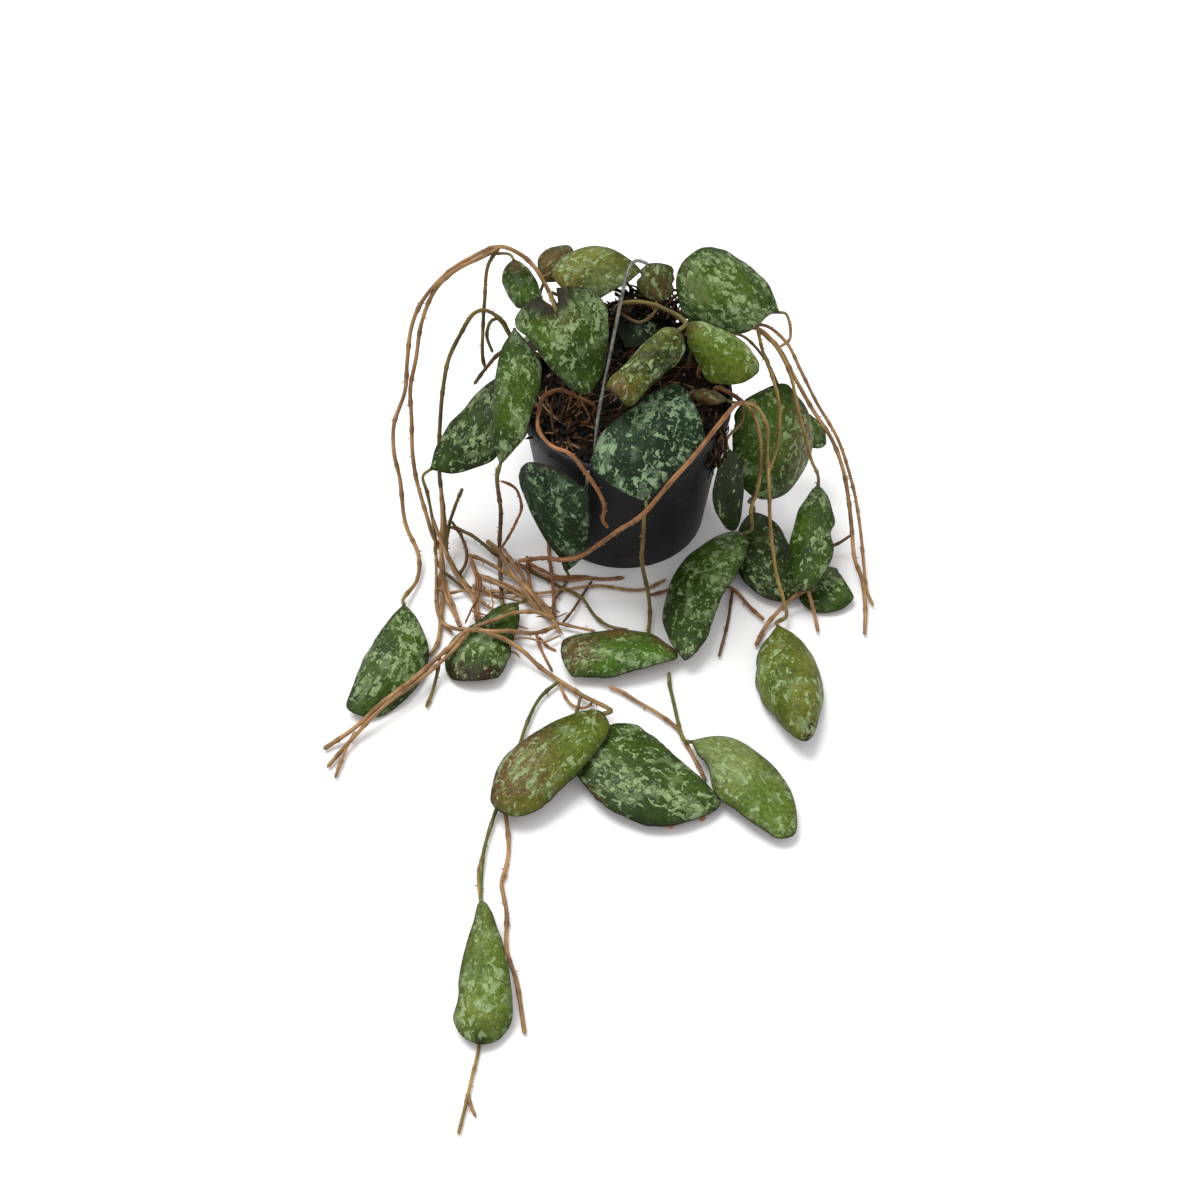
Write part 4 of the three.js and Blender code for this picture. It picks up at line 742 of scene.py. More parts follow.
# Vine, radius of the solid in mm, tone, path in mm, and the leaf that it ends at, if any
STEMS = [
    ("stem_left", 1.5, "tan", [(-20, 10, 70), (-20, 10, 80), (-20, 10, 90), (-27, 18, 106),
     (-38, 32, 128), (-45, 39, 142), (-52, 44, 152), (-60, 48, 157), (-70, 52, 158), (-85, 51, 152),
     (-101, 47, 142), (-115, 39, 128), (-121, 33, 115), (-124, 24, 98), (-126, 16, 82), (-133, 8, 64),
     (-134, 1, 48), (-131, -8, 34), (-128, -26, 16), (-120, -43, 7), (-120, -58, 3.5)], "leaf_low_left"),
    ("stem_left", 1.5, "tan", [(-70, 52, 158), (-79, 50, 153), (-95, 46, 146), (-107, 43, 134),
     (-115, 34, 118), (-119, 25, 99), (-123, 18, 82), (-123, 10, 66), (-123, -1, 50), (-121, -11, 38),
     (-114, -29, 20), (-112, -33, 14), (-108, -38, 8), (-106, -45, 5), (-105, -66, 3), (-105, -88, 3),
     (-106, -104, 2), (-110, -114, 2)]),
    ("stem_left", 1.5, "olive", [(-27, 18, 106), (-48, 22, 104), (-64, 25, 115), (-71, 29, 126),
     (-79, 31, 130), (-85, 28, 130), (-92, 21, 122), (-99, 14, 110), (-103, 12, 92), (-106, 9, 70),
     (-108, -4, 40), (-105, -26, 16), (-104, -40, 8), (-100, -48, 4), (-96, -55, 3), (-89, -66, 3),
     (-84, -74, 3)]),
    ("stem_left", 1.3, "olive", [(-70, 52, 158), (-77, 50, 146), (-79, 37, 132), (-80, 32, 122),
     (-81, 25, 98), (-79, 21, 93)]),
    ("stem_left", 1.1, "tan", [(-70, 52, 158), (-74, 54, 152)], "leaf_left_roll"),
    ("stem_left", 1.1, "brown", [(-60, 48, 157), (-54, 47, 152)], "leaf_crown"),
    ("stem_left", 1.1, "brown", [(-38, 32, 128), (-48, 42, 129)], "leaf_crown_brown"),
    ("stem_left", 1.2, "olive", [(-64, 25, 115), (-70, 29, 125), (-75, 28, 125), (-78, 25, 117),
     (-75, 22, 106)]),
    ("stem_left", 1.3, "brown", [(-48, 22, 104), (-62, 24, 108), (-70, 22, 107), (-79, 17, 99),
     (-86, 12, 91)]),
    ("stem_left", 1.2, "olive", [(-110, -35.5, 11), (-111, -34, 28), (-113, -30, 46)], "leaf_left_outer"),
    ("stem_left", 1.3, "olive", [(-93, -27, 47), (-98, -27, 32), (-103, -30, 15), (-104, -40, 8)]),
    ("stem_left", 1.5, "brown", [(-70, -80, 3), (-72, -58, 3), (-73, -38, 9),
     (-71, -40, 40)], "leaf_left_hanging"),
    ("stem_left", 1, "copper", [(-70, -43, 70), (-65, -42, 66), (-61, -39, 57), (-59, -41, 46),
     (-62, -40, 34), (-69, -39, 15), (-74, -42, 8)]),
    ("stem_left", 1.1, "brown", [(-98, -21, 6), (-88, -27, 5), (-75, -41, 5), (-61, -48, 4)]),
    ("stem_left", 1.1, "tan", [(-104, -26, 12), (-98, -21, 6), (-95, -29, 5), (-92, -40, 4),
     (-93, -47, 3), (-96, -55, 3)]),
    ("stem_left", 1.4, "tan", [(-92, -40, 4), (-86, -43, 5), (-74, -51, 5), (-64, -59, 5), (-55, -69, 5),
     (-46, -79, 5), (-40, -91, 4), (-37, -98, 3)]),
    ("stem_left", 1.1, "tan", [(-90, -41, 3), (-86, -55, 3), (-87, -71, 3), (-85, -87, 3)]),
    ("stem_left", 1.2, "tan", [(-86, -54, 3), (-72, -60, 3), (-60, -68, 4), (-49, -76, 4)]),
    ("stem_left", 1.8, "tan", [(-81, -32, 8), (-73, -41, 8), (-64, -58, 6), (-55, -69, 6), (-46, -83, 5),
     (-39, -93, 4)]),
    ("stem_left", 1.5, "tan", [(-106, -50, 4), (-108, -64, 3), (-108, -76, 3), (-104, -90, 3),
     (-96, -98, 7), (-88, -105, 15), (-74, -108, 17), (-64, -107, 16), (-52, -102, 8), (-42, -95, 4),
     (-38, -90, 4)]),
    ("stem_left", 1.2, "tan", [(-105, -55, 4), (-102, -68, 4), (-98, -79, 4), (-95, -91, 5.5),
     (-92.5, -100, 12)]),
    ("stem_left", 1.6, "tan", [(-164, -178, 2), (-148, -167, 6), (-132, -153, 12), (-118, -138, 11),
     (-98, -115, 12), (-87, -106, 16), (-73, -110, 16), (-60, -114, 10), (-47, -124, 4), (-37, -132, 3),
     (-24, -143, 4)], "leaf_floor_left"),
    ("stem_left", 1.4, "tan", [(-161, -190, 2), (-147, -171, 5), (-131, -154, 11), (-116, -139, 10),
     (-97, -118, 11), (-86, -105, 15), (-71, -98, 16), (-62, -92, 14), (-49, -88, 9), (-40, -90, 4)]),
    ("stem_left", 1.2, "tan", [(-156, -197, 2), (-152, -180, 3), (-147, -168, 5)]),
    ("stem_left", 1.2, "brown", [(-41, -72, 3), (-41, -85, 3), (-40, -91, 4)]),
    ("stem_left", 1.1, "brown", [(-41, -74, 3), (-36, -64, 2)], "leaf_pot_front"),
    ("stem_left", 1.1, "olive", [(-60, -68, 4)], "leaf_folded"),
    ("stem_left", 1.3, "green", [(-37, -132, 3), (-47, -143, 3), (-54, -160, 3), (-62, -195, 3),
     (-70, -221, 3), (-75, -246, 3)], "leaf_lowest"),
    ("stem_left", 1.4, "tan", [(-66, -210, 3), (-63, -229, 3), (-62, -243, 2), (-64, -258, 2),
     (-65, -262, 2), (-62, -279, 2), (-61, -302, 2), (-56, -318, 2), (-51, -348, 2)]),
    ("stem_left", 1.1, "straw", [(-75, -244, 3), (-77, -256, 2), (-75, -276, 1.7), (-73, -300, 1.7),
     (-73, -330, 1.6), (-73, -354, 1.6), (-76, -372, 2), (-78, -384, 2), (-81, -400, 2)]),
    ("stem_left", 1, "tan", [(-77, -378, 2), (-76, -384, 2), (-73, -391, 2)]),
    ("stem_left", 1.2, "olive", [(-36, -64, 2.5), (-25, -72, 3), (-17, -86, 3), (-9, -93, 3),
     (2, -96, 3)]),
    ("stem_left", 1.1, "tan", [(-84, -66, 2.5), (-51, -68, 2.5), (-17, -62, 2), (9, -65, 2),
     (24, -57, 2)]),
    ("stem_left", 1.2, "copper", [(-64, -46.5, 4.2), (-56, -50, 4), (-46, -56, 3), (-30, -58, 2.5),
     (-18, -56, 2.5)]),
    ("stem_left", 1, "tan", [(-37, -133, 3), (-34, -142, 2.5), (-29, -149, 2.5), (-22, -150, 2.5),
     (-17, -144, 2.5)]),
    ("stem_left", 1.2, "olive", [(-103, -121, 11), (-105, -130, 5), (-107, -139, 2.5), (-110, -150, 2)]),
    ("stem_left", 1.1, "tan", [(-40, -91, 4), (-26, -95, 4), (-17, -99, 6)]),
    ("stem_left", 1.1, "brown", [(-25, -143, 4), (-28, -158, 4.5), (-31, -170, 6)], "leaf_floor_middle"),
    ("stem_front", 1.6, "copper", [(-62, -50, 10), (-55, -54, 16), (-46, -60, 24), (-35, -66.5, 30),
     (-26, -67.5, 34), (-16, -69, 45), (-4, -78, 68), (9, -86, 90), (24, -74, 103), (36, -59, 106),
     (49, -38, 107), (60, -19, 105), (64, -12, 101), (59, -5, 100), (51, 2, 98), (50, 3, 90), (50, 3, 80),
     (50, 3, 70)]),
    ("stem_front", 1.4, "olive", [(9, -86, 90), (9, -85, 70), (9, -76, 38), (13, -75, 10), (14, -82, 4),
     (13, -96, 3), (12, -105, 3.5), (11, -111, 7), (11, -115, 11)]),
    ("stem_front", 1.1, "green", [(9, -86, 90)], "leaf_front"),
    ("stem_front", 1.1, "brown", [(64, -12, 101)], "leaf_scrap"),
    ("stem_front", 1.1, "brown", [(64, -12, 101), (65, -17, 92)], "leaf_right_low"),
    ("stem_front", 1.3, "straw", [(64, -12, 101), (70, -11, 94), (75, -14, 80), (77, -20, 60),
     (75.5, -26, 43), (72.5, -30, 33)], "leaf_banana"),
    ("stem_front", 1.3, "straw", [(64, -12, 101), (72, -10, 96), (79, -13, 84), (80, -19, 68),
     (82, -28, 48), (83, -37, 32), (84, -54, 26), (86, -69, 19), (90, -80, 9.5),
     (91, -89, 7)], "leaf_teardrop"),
    ("stem_front", 1.1, "brown", [(75.5, -26, 43), (74, -17, 28), (73, -9, 16),
     (75, -5, 11)], "leaf_right_dark"),
    ("stem_right", 1.1, "brown", [(132, -33, 14), (124, -35, 8), (112, -38, 5),
     (102, -44, 4)], "leaf_right_lowest"),
    ("stem_loop", 1.4, "copper", [(-18, -4, 70), (-18, -4, 80), (-18, -4, 90), (-28, -5, 98),
     (-36, -5, 103), (-45, -12, 106), (-48, -24, 106), (-48, -37, 104), (-41, -47, 102), (-31, -53, 102),
     (-23, -62, 98), (-15, -67, 86), (-12, -65, 72), (-13, -62, 58), (-10, -60, 50)]),
    ("stem_crown", 1.4, "olive", [(-9, 40, 70), (-9, 40, 80), (-9, 40, 90), (-9, 40, 106), (-6, 34, 128),
     (0, 24, 142), (11, 18, 147), (24, 11, 147), (30, 4, 148)], "leaf_roll_left"),
    ("stem_crown", 1.2, "olive", [(24, 11, 147)], "leaf_roll_right"),
    ("stem_crown", 1.1, "brown", [(-6, 34, 128), (8, 20, 131)], "leaf_crown_back"),
    ("stem_crown", 1.1, "brown", [(-9, 40, 104)], "leaf_inner"),
    ("stem_crown", 1.3, "olive", [(-9, 40, 98), (-14, 28, 116), (-25, 27, 135),
     (-41, 25, 148)], "leaf_crown_front"),
    ("stem_right", 1.5, "tan", [(42, 25, 70), (42, 25, 80), (42, 25, 90), (50, 31, 106), (64, 32, 115),
     (74, 29, 118), (86, 22, 110), (94, 16, 97), (106, 7, 78), (119, -2, 60), (126, -10, 44),
     (130, -19, 28), (132, -30, 16), (133, -47, 9), (136, -62, 8), (137, -78, 3.5), (135, -99, 2.5)]),
    ("stem_right", 1.2, "tan", [(66, 32, 115), (78, 33, 117), (91, 27, 109), (99, 18, 97), (109, 9, 80),
     (122, 0, 60), (129, -9, 44), (134, -19, 29), (137, -31, 16), (138, -47, 9), (139, -68, 4),
     (142, -78, 3)]),
    ("stem_right", 1.2, "straw", [(74, 29, 118), (84, 20, 113), (93, 12, 98), (98, 3, 80), (104, -3, 61),
     (108, -6, 47), (112, -4, 36)], "leaf_right_notched"),
    ("stem_right", 1.1, "tan", [(86, 22, 110), (93, 30, 110)], "leaf_crown_right"),
    ("stem_right", 1.2, "straw", [(74, 29, 118), (77, 19, 110), (83, 9, 98), (87, 0, 84), (86, -12, 66),
     (81, -21, 50)]),
    ("stem_right", 1.1, "olive", [(77, 19, 110), (80, 22, 101)], "leaf_right_hanging"),
    ("stem_right", 1.1, "olive", [(50, 31, 106), (64, 42, 102), (80, 48, 80),
     (91, 44, 58)], "leaf_right_back"),
    ("stem_front", 1.5, "tan", [(108, -71, 11.5), (100, -75, 11.5), (91, -81, 8), (80, -92, 3),
     (73, -107, 2.5)]),
    ("stem_front", 1.3, "tan", [(104, -73, 11.5), (107, -83, 5), (109, -97, 2.5)]),
    ("stem_front", 1.3, "copper", [(13, -76, 10), (20, -68, 3), (34, -62, 2.5), (48, -60, 2.5),
     (62, -65, 2.5), (71, -78, 2.5), (79, -88, 2.5)]),
    ("stem_front", 1.1, "brown", [(62, -65, 2.5), (58, -90, 2.5), (52, -115, 2.5)]),
    ("stem_back", 1.4, "olive", [(-26, 40, 70), (-26, 40, 80), (-26, 40, 90), (-29, 47, 102),
     (-36, 53, 107)], "leaf_back_left"),
    ("stem_back", 1.2, "olive", [(-29, 47, 102), (-20, 56, 108)], "leaf_back_middle"),
    ("stem_back_right", 1.3, "olive", [(36, 30, 70), (36, 30, 80), (36, 30, 90), (40, 42, 101),
     (44, 52, 105)], "leaf_back_right"),
    ("stem_floor", 1.3, "tan", [(-10, -135.5, 2.5), (-3, -139, 2.5), (6, -146, 2.5), (17, -154, 2.5),
     (28, -165, 2.5), (33, -176, 1.8), (38, -188, 1.7), (42, -198, 1.7)]),
    ("stem_floor", 1.3, "green", [(24, -125, 2.2), (24, -134, 2.5), (26, -147, 2.8),
     (28.5, -163, 3)], "leaf_floor_right"),
]
print(len(STEMS), "stems")


# %% Smooth line
FINE_STEPS = 24


def smooth_line(points, spacing):
    """Points at even steps on a centripetal Catmull-Rom curve: between two points it is a
    cubic whose end slopes follow the neighbours, weighted by the roots of the distances."""
    given = np.array(points, float)
    line = np.vstack([2 * given[0] - given[1], given, 2 * given[-1] - given[-2]])
    before, start, end, after = line[:-3], line[1:-2], line[2:-1], line[3:]
    root = np.sqrt(np.linalg.norm(np.diff(line, axis=0), axis=1))[:, None]
    d0, d1, d2 = root[:-2], root[1:-1], root[2:]
    leave = ((start - before) / d0 - (end - before) / (d0 + d1) + (end - start) / d1) * d1
    reach = ((end - start) / d1 - (after - start) / (d1 + d2) + (after - end) / d2) * d1
    t = np.linspace(0, 1, FINE_STEPS, endpoint=False)[None, :, None]
    start, end, leave, reach = (rows[:, None, :] for rows in (start, end, leave, reach))
    cubic = (start + leave * t + (3 * (end - start) - 2 * leave - reach) * t**2
             + (2 * (start - end) + leave + reach) * t**3)
    fine = np.vstack([cubic.reshape(-1, 3), given[-1:]])
    run = np.concatenate([[0], np.cumsum(np.linalg.norm(np.diff(fine, axis=0), axis=1))])
    steps = max(3, int(round(run[-1] / spacing)))
    even = np.linspace(0, run[-1], steps + 1)
    return even, np.stack([np.interp(even, run, fine[:, axis]) for axis in range(3)], -1)


# %% Steady frame
def steady_frame(line):
    """Two directions square to the line at each point. Any square pair is taken first. The
    twist between neighbours is measured, and its running sum is turned back."""
    tangent = np.gradient(line, axis=0)
    tangent /= np.linalg.norm(tangent, axis=1, keepdims=True)
    flattest = np.eye(3)[np.argmin(np.abs(tangent), axis=1)]
    first = np.cross(tangent, flattest)
    first /= np.linalg.norm(first, axis=1, keepdims=True)
    second = np.cross(tangent, first)
    here, there = tangent[:-1], tangent[1:]
    axis = np.cross(here, there)
    cosine = (here * there).sum(1, keepdims=True)
    carried = first[:-1]
    carried = (carried * cosine + np.cross(axis, carried)
               + axis * (axis * carried).sum(1, keepdims=True) / (1 + cosine))
    twist = np.arctan2((carried * second[1:]).sum(1), (carried * first[1:]).sum(1))
    turn = np.concatenate([[0], np.cumsum(twist)])[:, None]
    return (np.cos(turn) * first + np.sin(turn) * second,
            np.cos(turn) * second - np.sin(turn) * first)


# %% Skin round a line
def circles(first, second, sides):
    """A circle of radius 1 in the plane of each pair of directions."""
    angle = even_turn(sides)
    return (np.cos(angle)[None, :, None] * first[:, None, :]
            + np.sin(angle)[None, :, None] * second[:, None, :])


def tube(line, radii, sides):
    """Ring k is the line's point k plus its radius times a circle in the steady frame."""
    circle = circles(*steady_frame(line), sides)
    return line[:, None, :] + radii[:, None, None] * circle, circle


def rounded_ends(run, reach):
    """1 along the tube, and a quarter circle down to nearly 0 over the last reach of it."""
    end = np.minimum(run, run[-1] - run) / reach
    return np.sqrt(np.maximum(1 - (1 - np.minimum(end, 1)) ** 2, 0.01))


# %% [markdown]
# The joints of a stem come at seeded uneven steps. Stubs are tapered tubes of a few faces,
# all made at once from one cone: each is set on the stem's skin and points out of it.

# %% Joints and stubs
STEM_SPACING = 1.3
STEM_SIDES = 10
STEM_SEED = 401
STEM_END = 1.4
STEM_WAVE = 0.05
STEM_WAVE_LENGTHS = (6, 25)
STEM_TONE_LENGTHS = (20, 60)
SHOWN_RADIUS = 0.8
YOUNG_REACH = 12
JOINT_STEPS = (14, 30)
JOINT_SWELL = 0.22
JOINT_REACH = 1.6
STUB_STEP = 9
STUB_SIDES = 5
STUB_ROOT = 0.8
STUB_LENGTHS = (0.7, 1.9)
STUB_RADII = (0.28, 0.5)
STUB_FREE_END = 3
# How far out, how wide and how far ahead each ring of a stub stands
STUB_RINGS = [(-0.5, 1.0, 0.0), (0.35, 0.8, 0.08), (0.75, 0.6, 0.25), (1.0, 0.25, 0.4)]


def joint_places(length, rng):
    """Distances along a stem of that length, at uneven steps."""
    steps = rng.uniform(*JOINT_STEPS, size=int(length / JOINT_STEPS[0]) + 2)
    places = np.cumsum(steps) - steps[0] * 0.6
    return places[places < length - 3]


def stub_cones(roots, outward, along, radii, lengths):
    """Cones with five sides: a ring at the root, a bent neck and a blunt tip for each."""
    circle = circles(along, np.cross(outward, along), STUB_SIDES)
    return np.stack([
        roots[:, None, :] + (outward * up + along * lean)[:, None, :] * lengths[:, None, None]
        + circle * radii[:, None, None] * wide
        for up, wide, lean in STUB_RINGS], axis=1)


# %% Path of a stem
def stem_points(path, leaf_name):
    """The stem's own points and, where it carries a leaf, its petiole in line with the
    midrib, run on a little way into the blade."""
    points = [np.array(place, float) for place in path]
    if leaf_name:
        leaf = LEAVES[leaf_name]
        start, inside = (
            leaf_surface(leaf, np.array(s), np.array(0.0), half_width(leaf, np.array(s), 0), 0)
            for s in (0.0, MIDRIB_START))
        heading = (inside - start) / np.linalg.norm(inside - start)
        points += [start - heading * PETIOLE_LENGTH, start + heading * PETIOLE_OVERLAP]
    return points


# %% One stem's skin
STEM_TONES = {
    "tan": ((166, 131, 92), (124, 94, 62)),
    "copper": ((152, 104, 68), (114, 77, 48)),
    "olive": ((112, 98, 50), (76, 70, 34)),
    "green": ((94, 100, 42), (64, 76, 30)),
    "straw": ((156, 132, 80), (116, 98, 54)),
    "brown": ((104, 80, 52), (68, 52, 34)),
}
PETIOLE_TONE = (106, 104, 56)
STUB_TONE = (156, 108, 66)
STEMS_APART = 90.0


def stem_skin(order, radius, tone, path, leaf_name=None):
    """Points, values and faces of the parts of one stem: its tube, then its root stubs."""
    rng = np.random.default_rng(order + STEM_SEED)
    run, line = smooth_line(stem_points(path, leaf_name), STEM_SPACING)
    swell = np.exp(-(((run[:, None] - joint_places(run[-1], rng)) / JOINT_REACH) ** 2)).sum(1)
    uneven = STEM_WAVE * waves(run[:, None], rng, STEM_WAVE_LENGTHS)
    radii = radius * (SHOWN_RADIUS + uneven + JOINT_SWELL * swell) * rounded_ends(run, STEM_END)
    skin, circle = tube(line, radii, STEM_SIDES)
    keep_above_floor(skin)
    colour = uneven_tone(STEM_TONES[tone], run[:, None], rng, STEM_TONE_LENGTHS)
    if leaf_name:
        young = np.exp(-(run[-1] - run) / YOUNG_REACH)[:, None]
        colour = blend(young, colour, light_value(*PETIOLE_TONE))
    grain = np.broadcast_arrays(run[:, None], even_turn(STEM_SIDES) * radius, STEMS_APART * order)
    parts = [(skin.reshape(-1, 3), {
        "tone": np.repeat(colour, STEM_SIDES, axis=0),
        "flat": np.stack(grain, -1).reshape(-1, 3),
        "joint": np.repeat(np.minimum(swell, 1), STEM_SIDES)}, closed_grid(*skin.shape[:2]))]

    count = int(run[-1] / STUB_STEP)
    if count and len(run) > 8:
        near = rng.integers(STUB_FREE_END, len(run) - STUB_FREE_END, size=count)
        side = rng.integers(0, STEM_SIDES, size=count)
        outward = circle[near, side]
        ahead = line[near + 1] - line[near - 1]
        ahead /= np.linalg.norm(ahead, axis=1, keepdims=True)
        roots = line[near] + outward * radii[near, None] * STUB_ROOT
        lengths = rng.uniform(*STUB_LENGTHS, size=count)
        cones = stub_cones(roots, outward, ahead, rng.uniform(*STUB_RADII, size=count), lengths)
        keep_above_floor(cones)
        points = cones.reshape(-1, 3)
        parts.append((points, {
            "tone": np.tile(light_value(*STUB_TONE), (len(points), 1)),
            "flat": points,
            "joint": np.zeros(len(points))}, repeated_grid(*cones.shape[:3])))
    return parts


# %% [markdown]
# ## Stems: the finish
# Old stems are tan to copper brown with long pale streaks and dark flecks, and young ones
# are olive green. The streaks are a noise that is stretched along the stem, so it reads
# the distance along and around. The streaks are partly bark and partly painted highlight:
# their palest runs lay a light tan along the stem. Joints are darker.

# %% Stem finish
def stem_finish():
    finish = Finish("stem_bark", Roughness=0.5, Specular_IOR_Level=0.25)
    flat = finish.attribute("flat", 1)
    streak_and_highlight = finish.noise(flat, (0.12, 1.1, 1), 3, 0.6)
    fleck = finish.noise(flat, (1.1, 1.3, 1), 3, 0.6)
    bark = finish.shades(finish.band(streak_and_highlight, 0.36, 0.64), finish.attribute("tone", 0),
                         (0.72, 0.7, 0.66), (1.3, 1.28, 1.2))
    # Painted highlight: where the streaks run palest, a light tan is laid along the stem.
    bark = finish.over(streak_and_highlight, 0.6, 0.72, 0.55, bark, paint(204, 172, 130))
    bark = finish.over(fleck, 0.6, 0.68, 0.6, bark, paint(58, 38, 26))
    bark = finish.mix(finish.attribute("joint") * 0.45, bark, paint(84, 50, 30))
    return finish.feed(
        Base_Color=bark,
        Roughness=0.38 + 0.3 * fleck,
        Normal=finish.bump(streak_and_highlight * 0.6 + fleck * 0.5, 0.0002))


# %% Make the stems
stem_bark = stem_finish()
for vine in sorted({row[0] for row in STEMS}):
    parts = [part for order, (name, *row) in enumerate(STEMS) if name == vine
             for part in stem_skin(order, *row)]
    bark = make_joined(vine + "_bark", parts, stem_bark)
    print(vine, "with", show(bark, "stem", vine), "faces")

# %% [markdown]
# ## Runners
# At the foot of the pot, thin runners cross each other in a tangle. They are made as the
# stems are, from rows measured along each runner, and lie over and under the thicker stems.

# %% Make the runners
RUNNER_ORDER = 200
# Radius in mm, tone, and path in mm. The last two are root buds.
RUNNERS = [
    (1.25, "tan", [(-111, -34, 30), (-105, -46, 19), (-100, -55, 12), (-94, -63, 6), (-87, -73, 4),
     (-84, -82, 2), (-82, -90, 1)]),
    (1.3, "tan", [(-107, -12, 32), (-106, -30, 24), (-106, -53, 14), (-105, -63, 8), (-102, -74, 4),
     (-98, -82, 2), (-93, -94, 1)]),
    (1.1, "olive", [(-110, -36, 14), (-110, -43, 10), (-107, -52, 6), (-100, -58, 4), (-92, -66, 3)]),
    (1.1, "brown", [(-101, -29, 22), (-95, -34, 13), (-92, -42, 9), (-93, -50, 6), (-97, -55, 4),
     (-100, -51, 4)]),
    (1.2, "copper", [(-90, -45, 10), (-88, -52, 8), (-85, -63, 6), (-86, -74, 3), (-85, -89, 2)]),
    (1.1, "copper", [(-86, -56, 9), (-83, -64, 6), (-85, -74, 4), (-83, -88, 2)]),
    (1.3, "tan", [(-86, -57, 7), (-75, -63, 6), (-63, -70, 5), (-55, -76, 4), (-45, -85, 3)]),
    (1.4, "tan", [(-71, -38, 8), (-65, -49, 7), (-59, -58, 6), (-54, -69, 5), (-47, -79, 4)]),
    (1.2, "copper", [(-45, -25, 2), (-44, -42, 3), (-42, -59, 3), (-41, -74, 3), (-40, -86, 2)]),
    (1.3, "copper", [(-57, -44, 8), (-56, -55, 6), (-54, -68, 4)]),
    (1.3, "copper", [(-57, -47, 6), (-48, -52, 4), (-38, -56, 3), (-27, -54, 1), (-14, -56, 1),
     (0, -55, 1)]),
    (1.0, "brown", [(-36, -91, 3), (-30, -81, 3), (-25, -70, 2), (-19, -58, 2)]),
    (1.0, "tan", [(-109, -66, 5), (-101, -69, 4), (-92, -67, 4), (-82, -70, 4), (-72, -72, 3)]),
    (1.1, "tan", [(-94, -59, 5), (-87, -70, 4), (-79, -78, 3), (-72, -82, 2)]),
    (1.0, "copper", [(-51, -95, 1), (-48, -107, 1), (-44, -117, 1), (-41, -124, 1)]),
    (0.9, "copper", [(-49, -99, 1), (-44, -106, 1), (-39, -109, 1)]),
    (1.0, "olive", [(-103, -29, 17), (-91, -32, 13), (-81, -38, 10), (-73, -43, 8)]),
    (1.2, "tan", [(-73, -43, 6), (-65, -55, 6), (-58, -68, 5), (-51, -79, 4), (-43, -88, 3)]),
    (1.1, "brown", [(-61, -49, 4), (-50, -55, 3), (-40, -61, 2), (-34, -65, 2)]),
    (1.1, "tan", [(-110, -37, 11), (-109, -57, 6), (-108, -74, 4), (-104, -88, 2), (-98, -97, 1)]),
    (2.2, "copper", [(22, -221, 2.5), (23, -229, 2)]),
    (2.2, "copper", [(37, -216, 2.5), (40, -224, 2)]),
]

parts = [part for order, row in enumerate(RUNNERS) for part in stem_skin(RUNNER_ORDER + order, *row)]
runners = make_joined("runner_bark", parts, stem_bark)
print(len(RUNNERS), "runners,", show(runners, "stem"), "faces")

# %% [markdown]
# ## Pot
# The pot is one thin moulding in black plastic: a tapered wall, a rim band that stands
# out, and a raised floor with drain holes on a foot ring. A round thing like this is
# turned: one profile is carried round a circle. The mould left fine level lines on the
# wall and soft upright ribs low down, so the radius also changes a little with the angle.

# %% Pot numbers
POT_HEIGHT = 96
BASE_RADIUS = 47
WALL_TOP_RADIUS = 58.2
RIM_RADIUS = 60
RIM_DEPTH = 8
RIM_TAPER = 0.3
WALL = 1.1
FOOT_WIDTH = 4
FOOT_DEPTH = 2
HUB_RADIUS = 12
POT_FLOOR_Z = 3.4
AXIS_RADIUS = 0.02
CORNER_RADIUS = 0.5
DRAIN_HOLES = 6
DRAIN_HOLE_RADIUS = 4
DRAIN_CIRCLE_RADIUS = 31
WIRE_HOLE_Z = 91.5
WIRE_HOLE_RADIUS = 1.8
HOLE_ANGLES = (-110, 60)
DRAIN_DRILL_ENDS = (-5, 9)
WIRE_DRILL_ENDS = (46, 66)
DRILL_SIDES = 20
POT_SIDES = 180
RIB_COUNT = 48
RIB_DEPTH = 0.22
RIB_TOP = 26
RIB_FADE = 8


# %% Turned shapes
def wall_radius(z):
    return BASE_RADIUS + (WALL_TOP_RADIUS - BASE_RADIUS) * z / (POT_HEIGHT - RIM_DEPTH)


def rounded_profile(corners, radius, steps=4):
    """The profile with each corner cut by a small arc: a quadratic curve from a point
    before the corner to a point after it, with the corner as its handle."""
    corners = np.array(corners, float)
    here = corners[1:-1]
    ways = [other - here for other in (corners[:-2], corners[2:])]
    sizes = [np.linalg.norm(way, axis=1) for way in ways]
    cut = np.minimum(radius, np.minimum(*sizes) * 0.4)[:, None]
    start, end = (here + way / size[:, None] * cut for way, size in zip(ways, sizes))
    t = np.linspace(0, 1, steps + 1)[None, :, None]
    arcs = ((1 - t) ** 2 * start[:, None] + 2 * t * (1 - t) * here[:, None] + t**2 * end[:, None])
    return np.vstack([corners[:1], arcs.reshape(-1, 2), corners[-1:]])


def turned(profile, sides, offset=0):
    """Each profile point goes round the Z axis: the rows follow the profile from the
    underside out, up and back in, and the columns go round. Both ends lie on the axis."""
    angle = even_turn(sides)
    radius = profile[:, :1] + offset
    return np.stack([radius * np.cos(angle), radius * np.sin(angle),
                     np.broadcast_to(profile[:, 1:], radius.shape[:1] + (sides,))], -1)


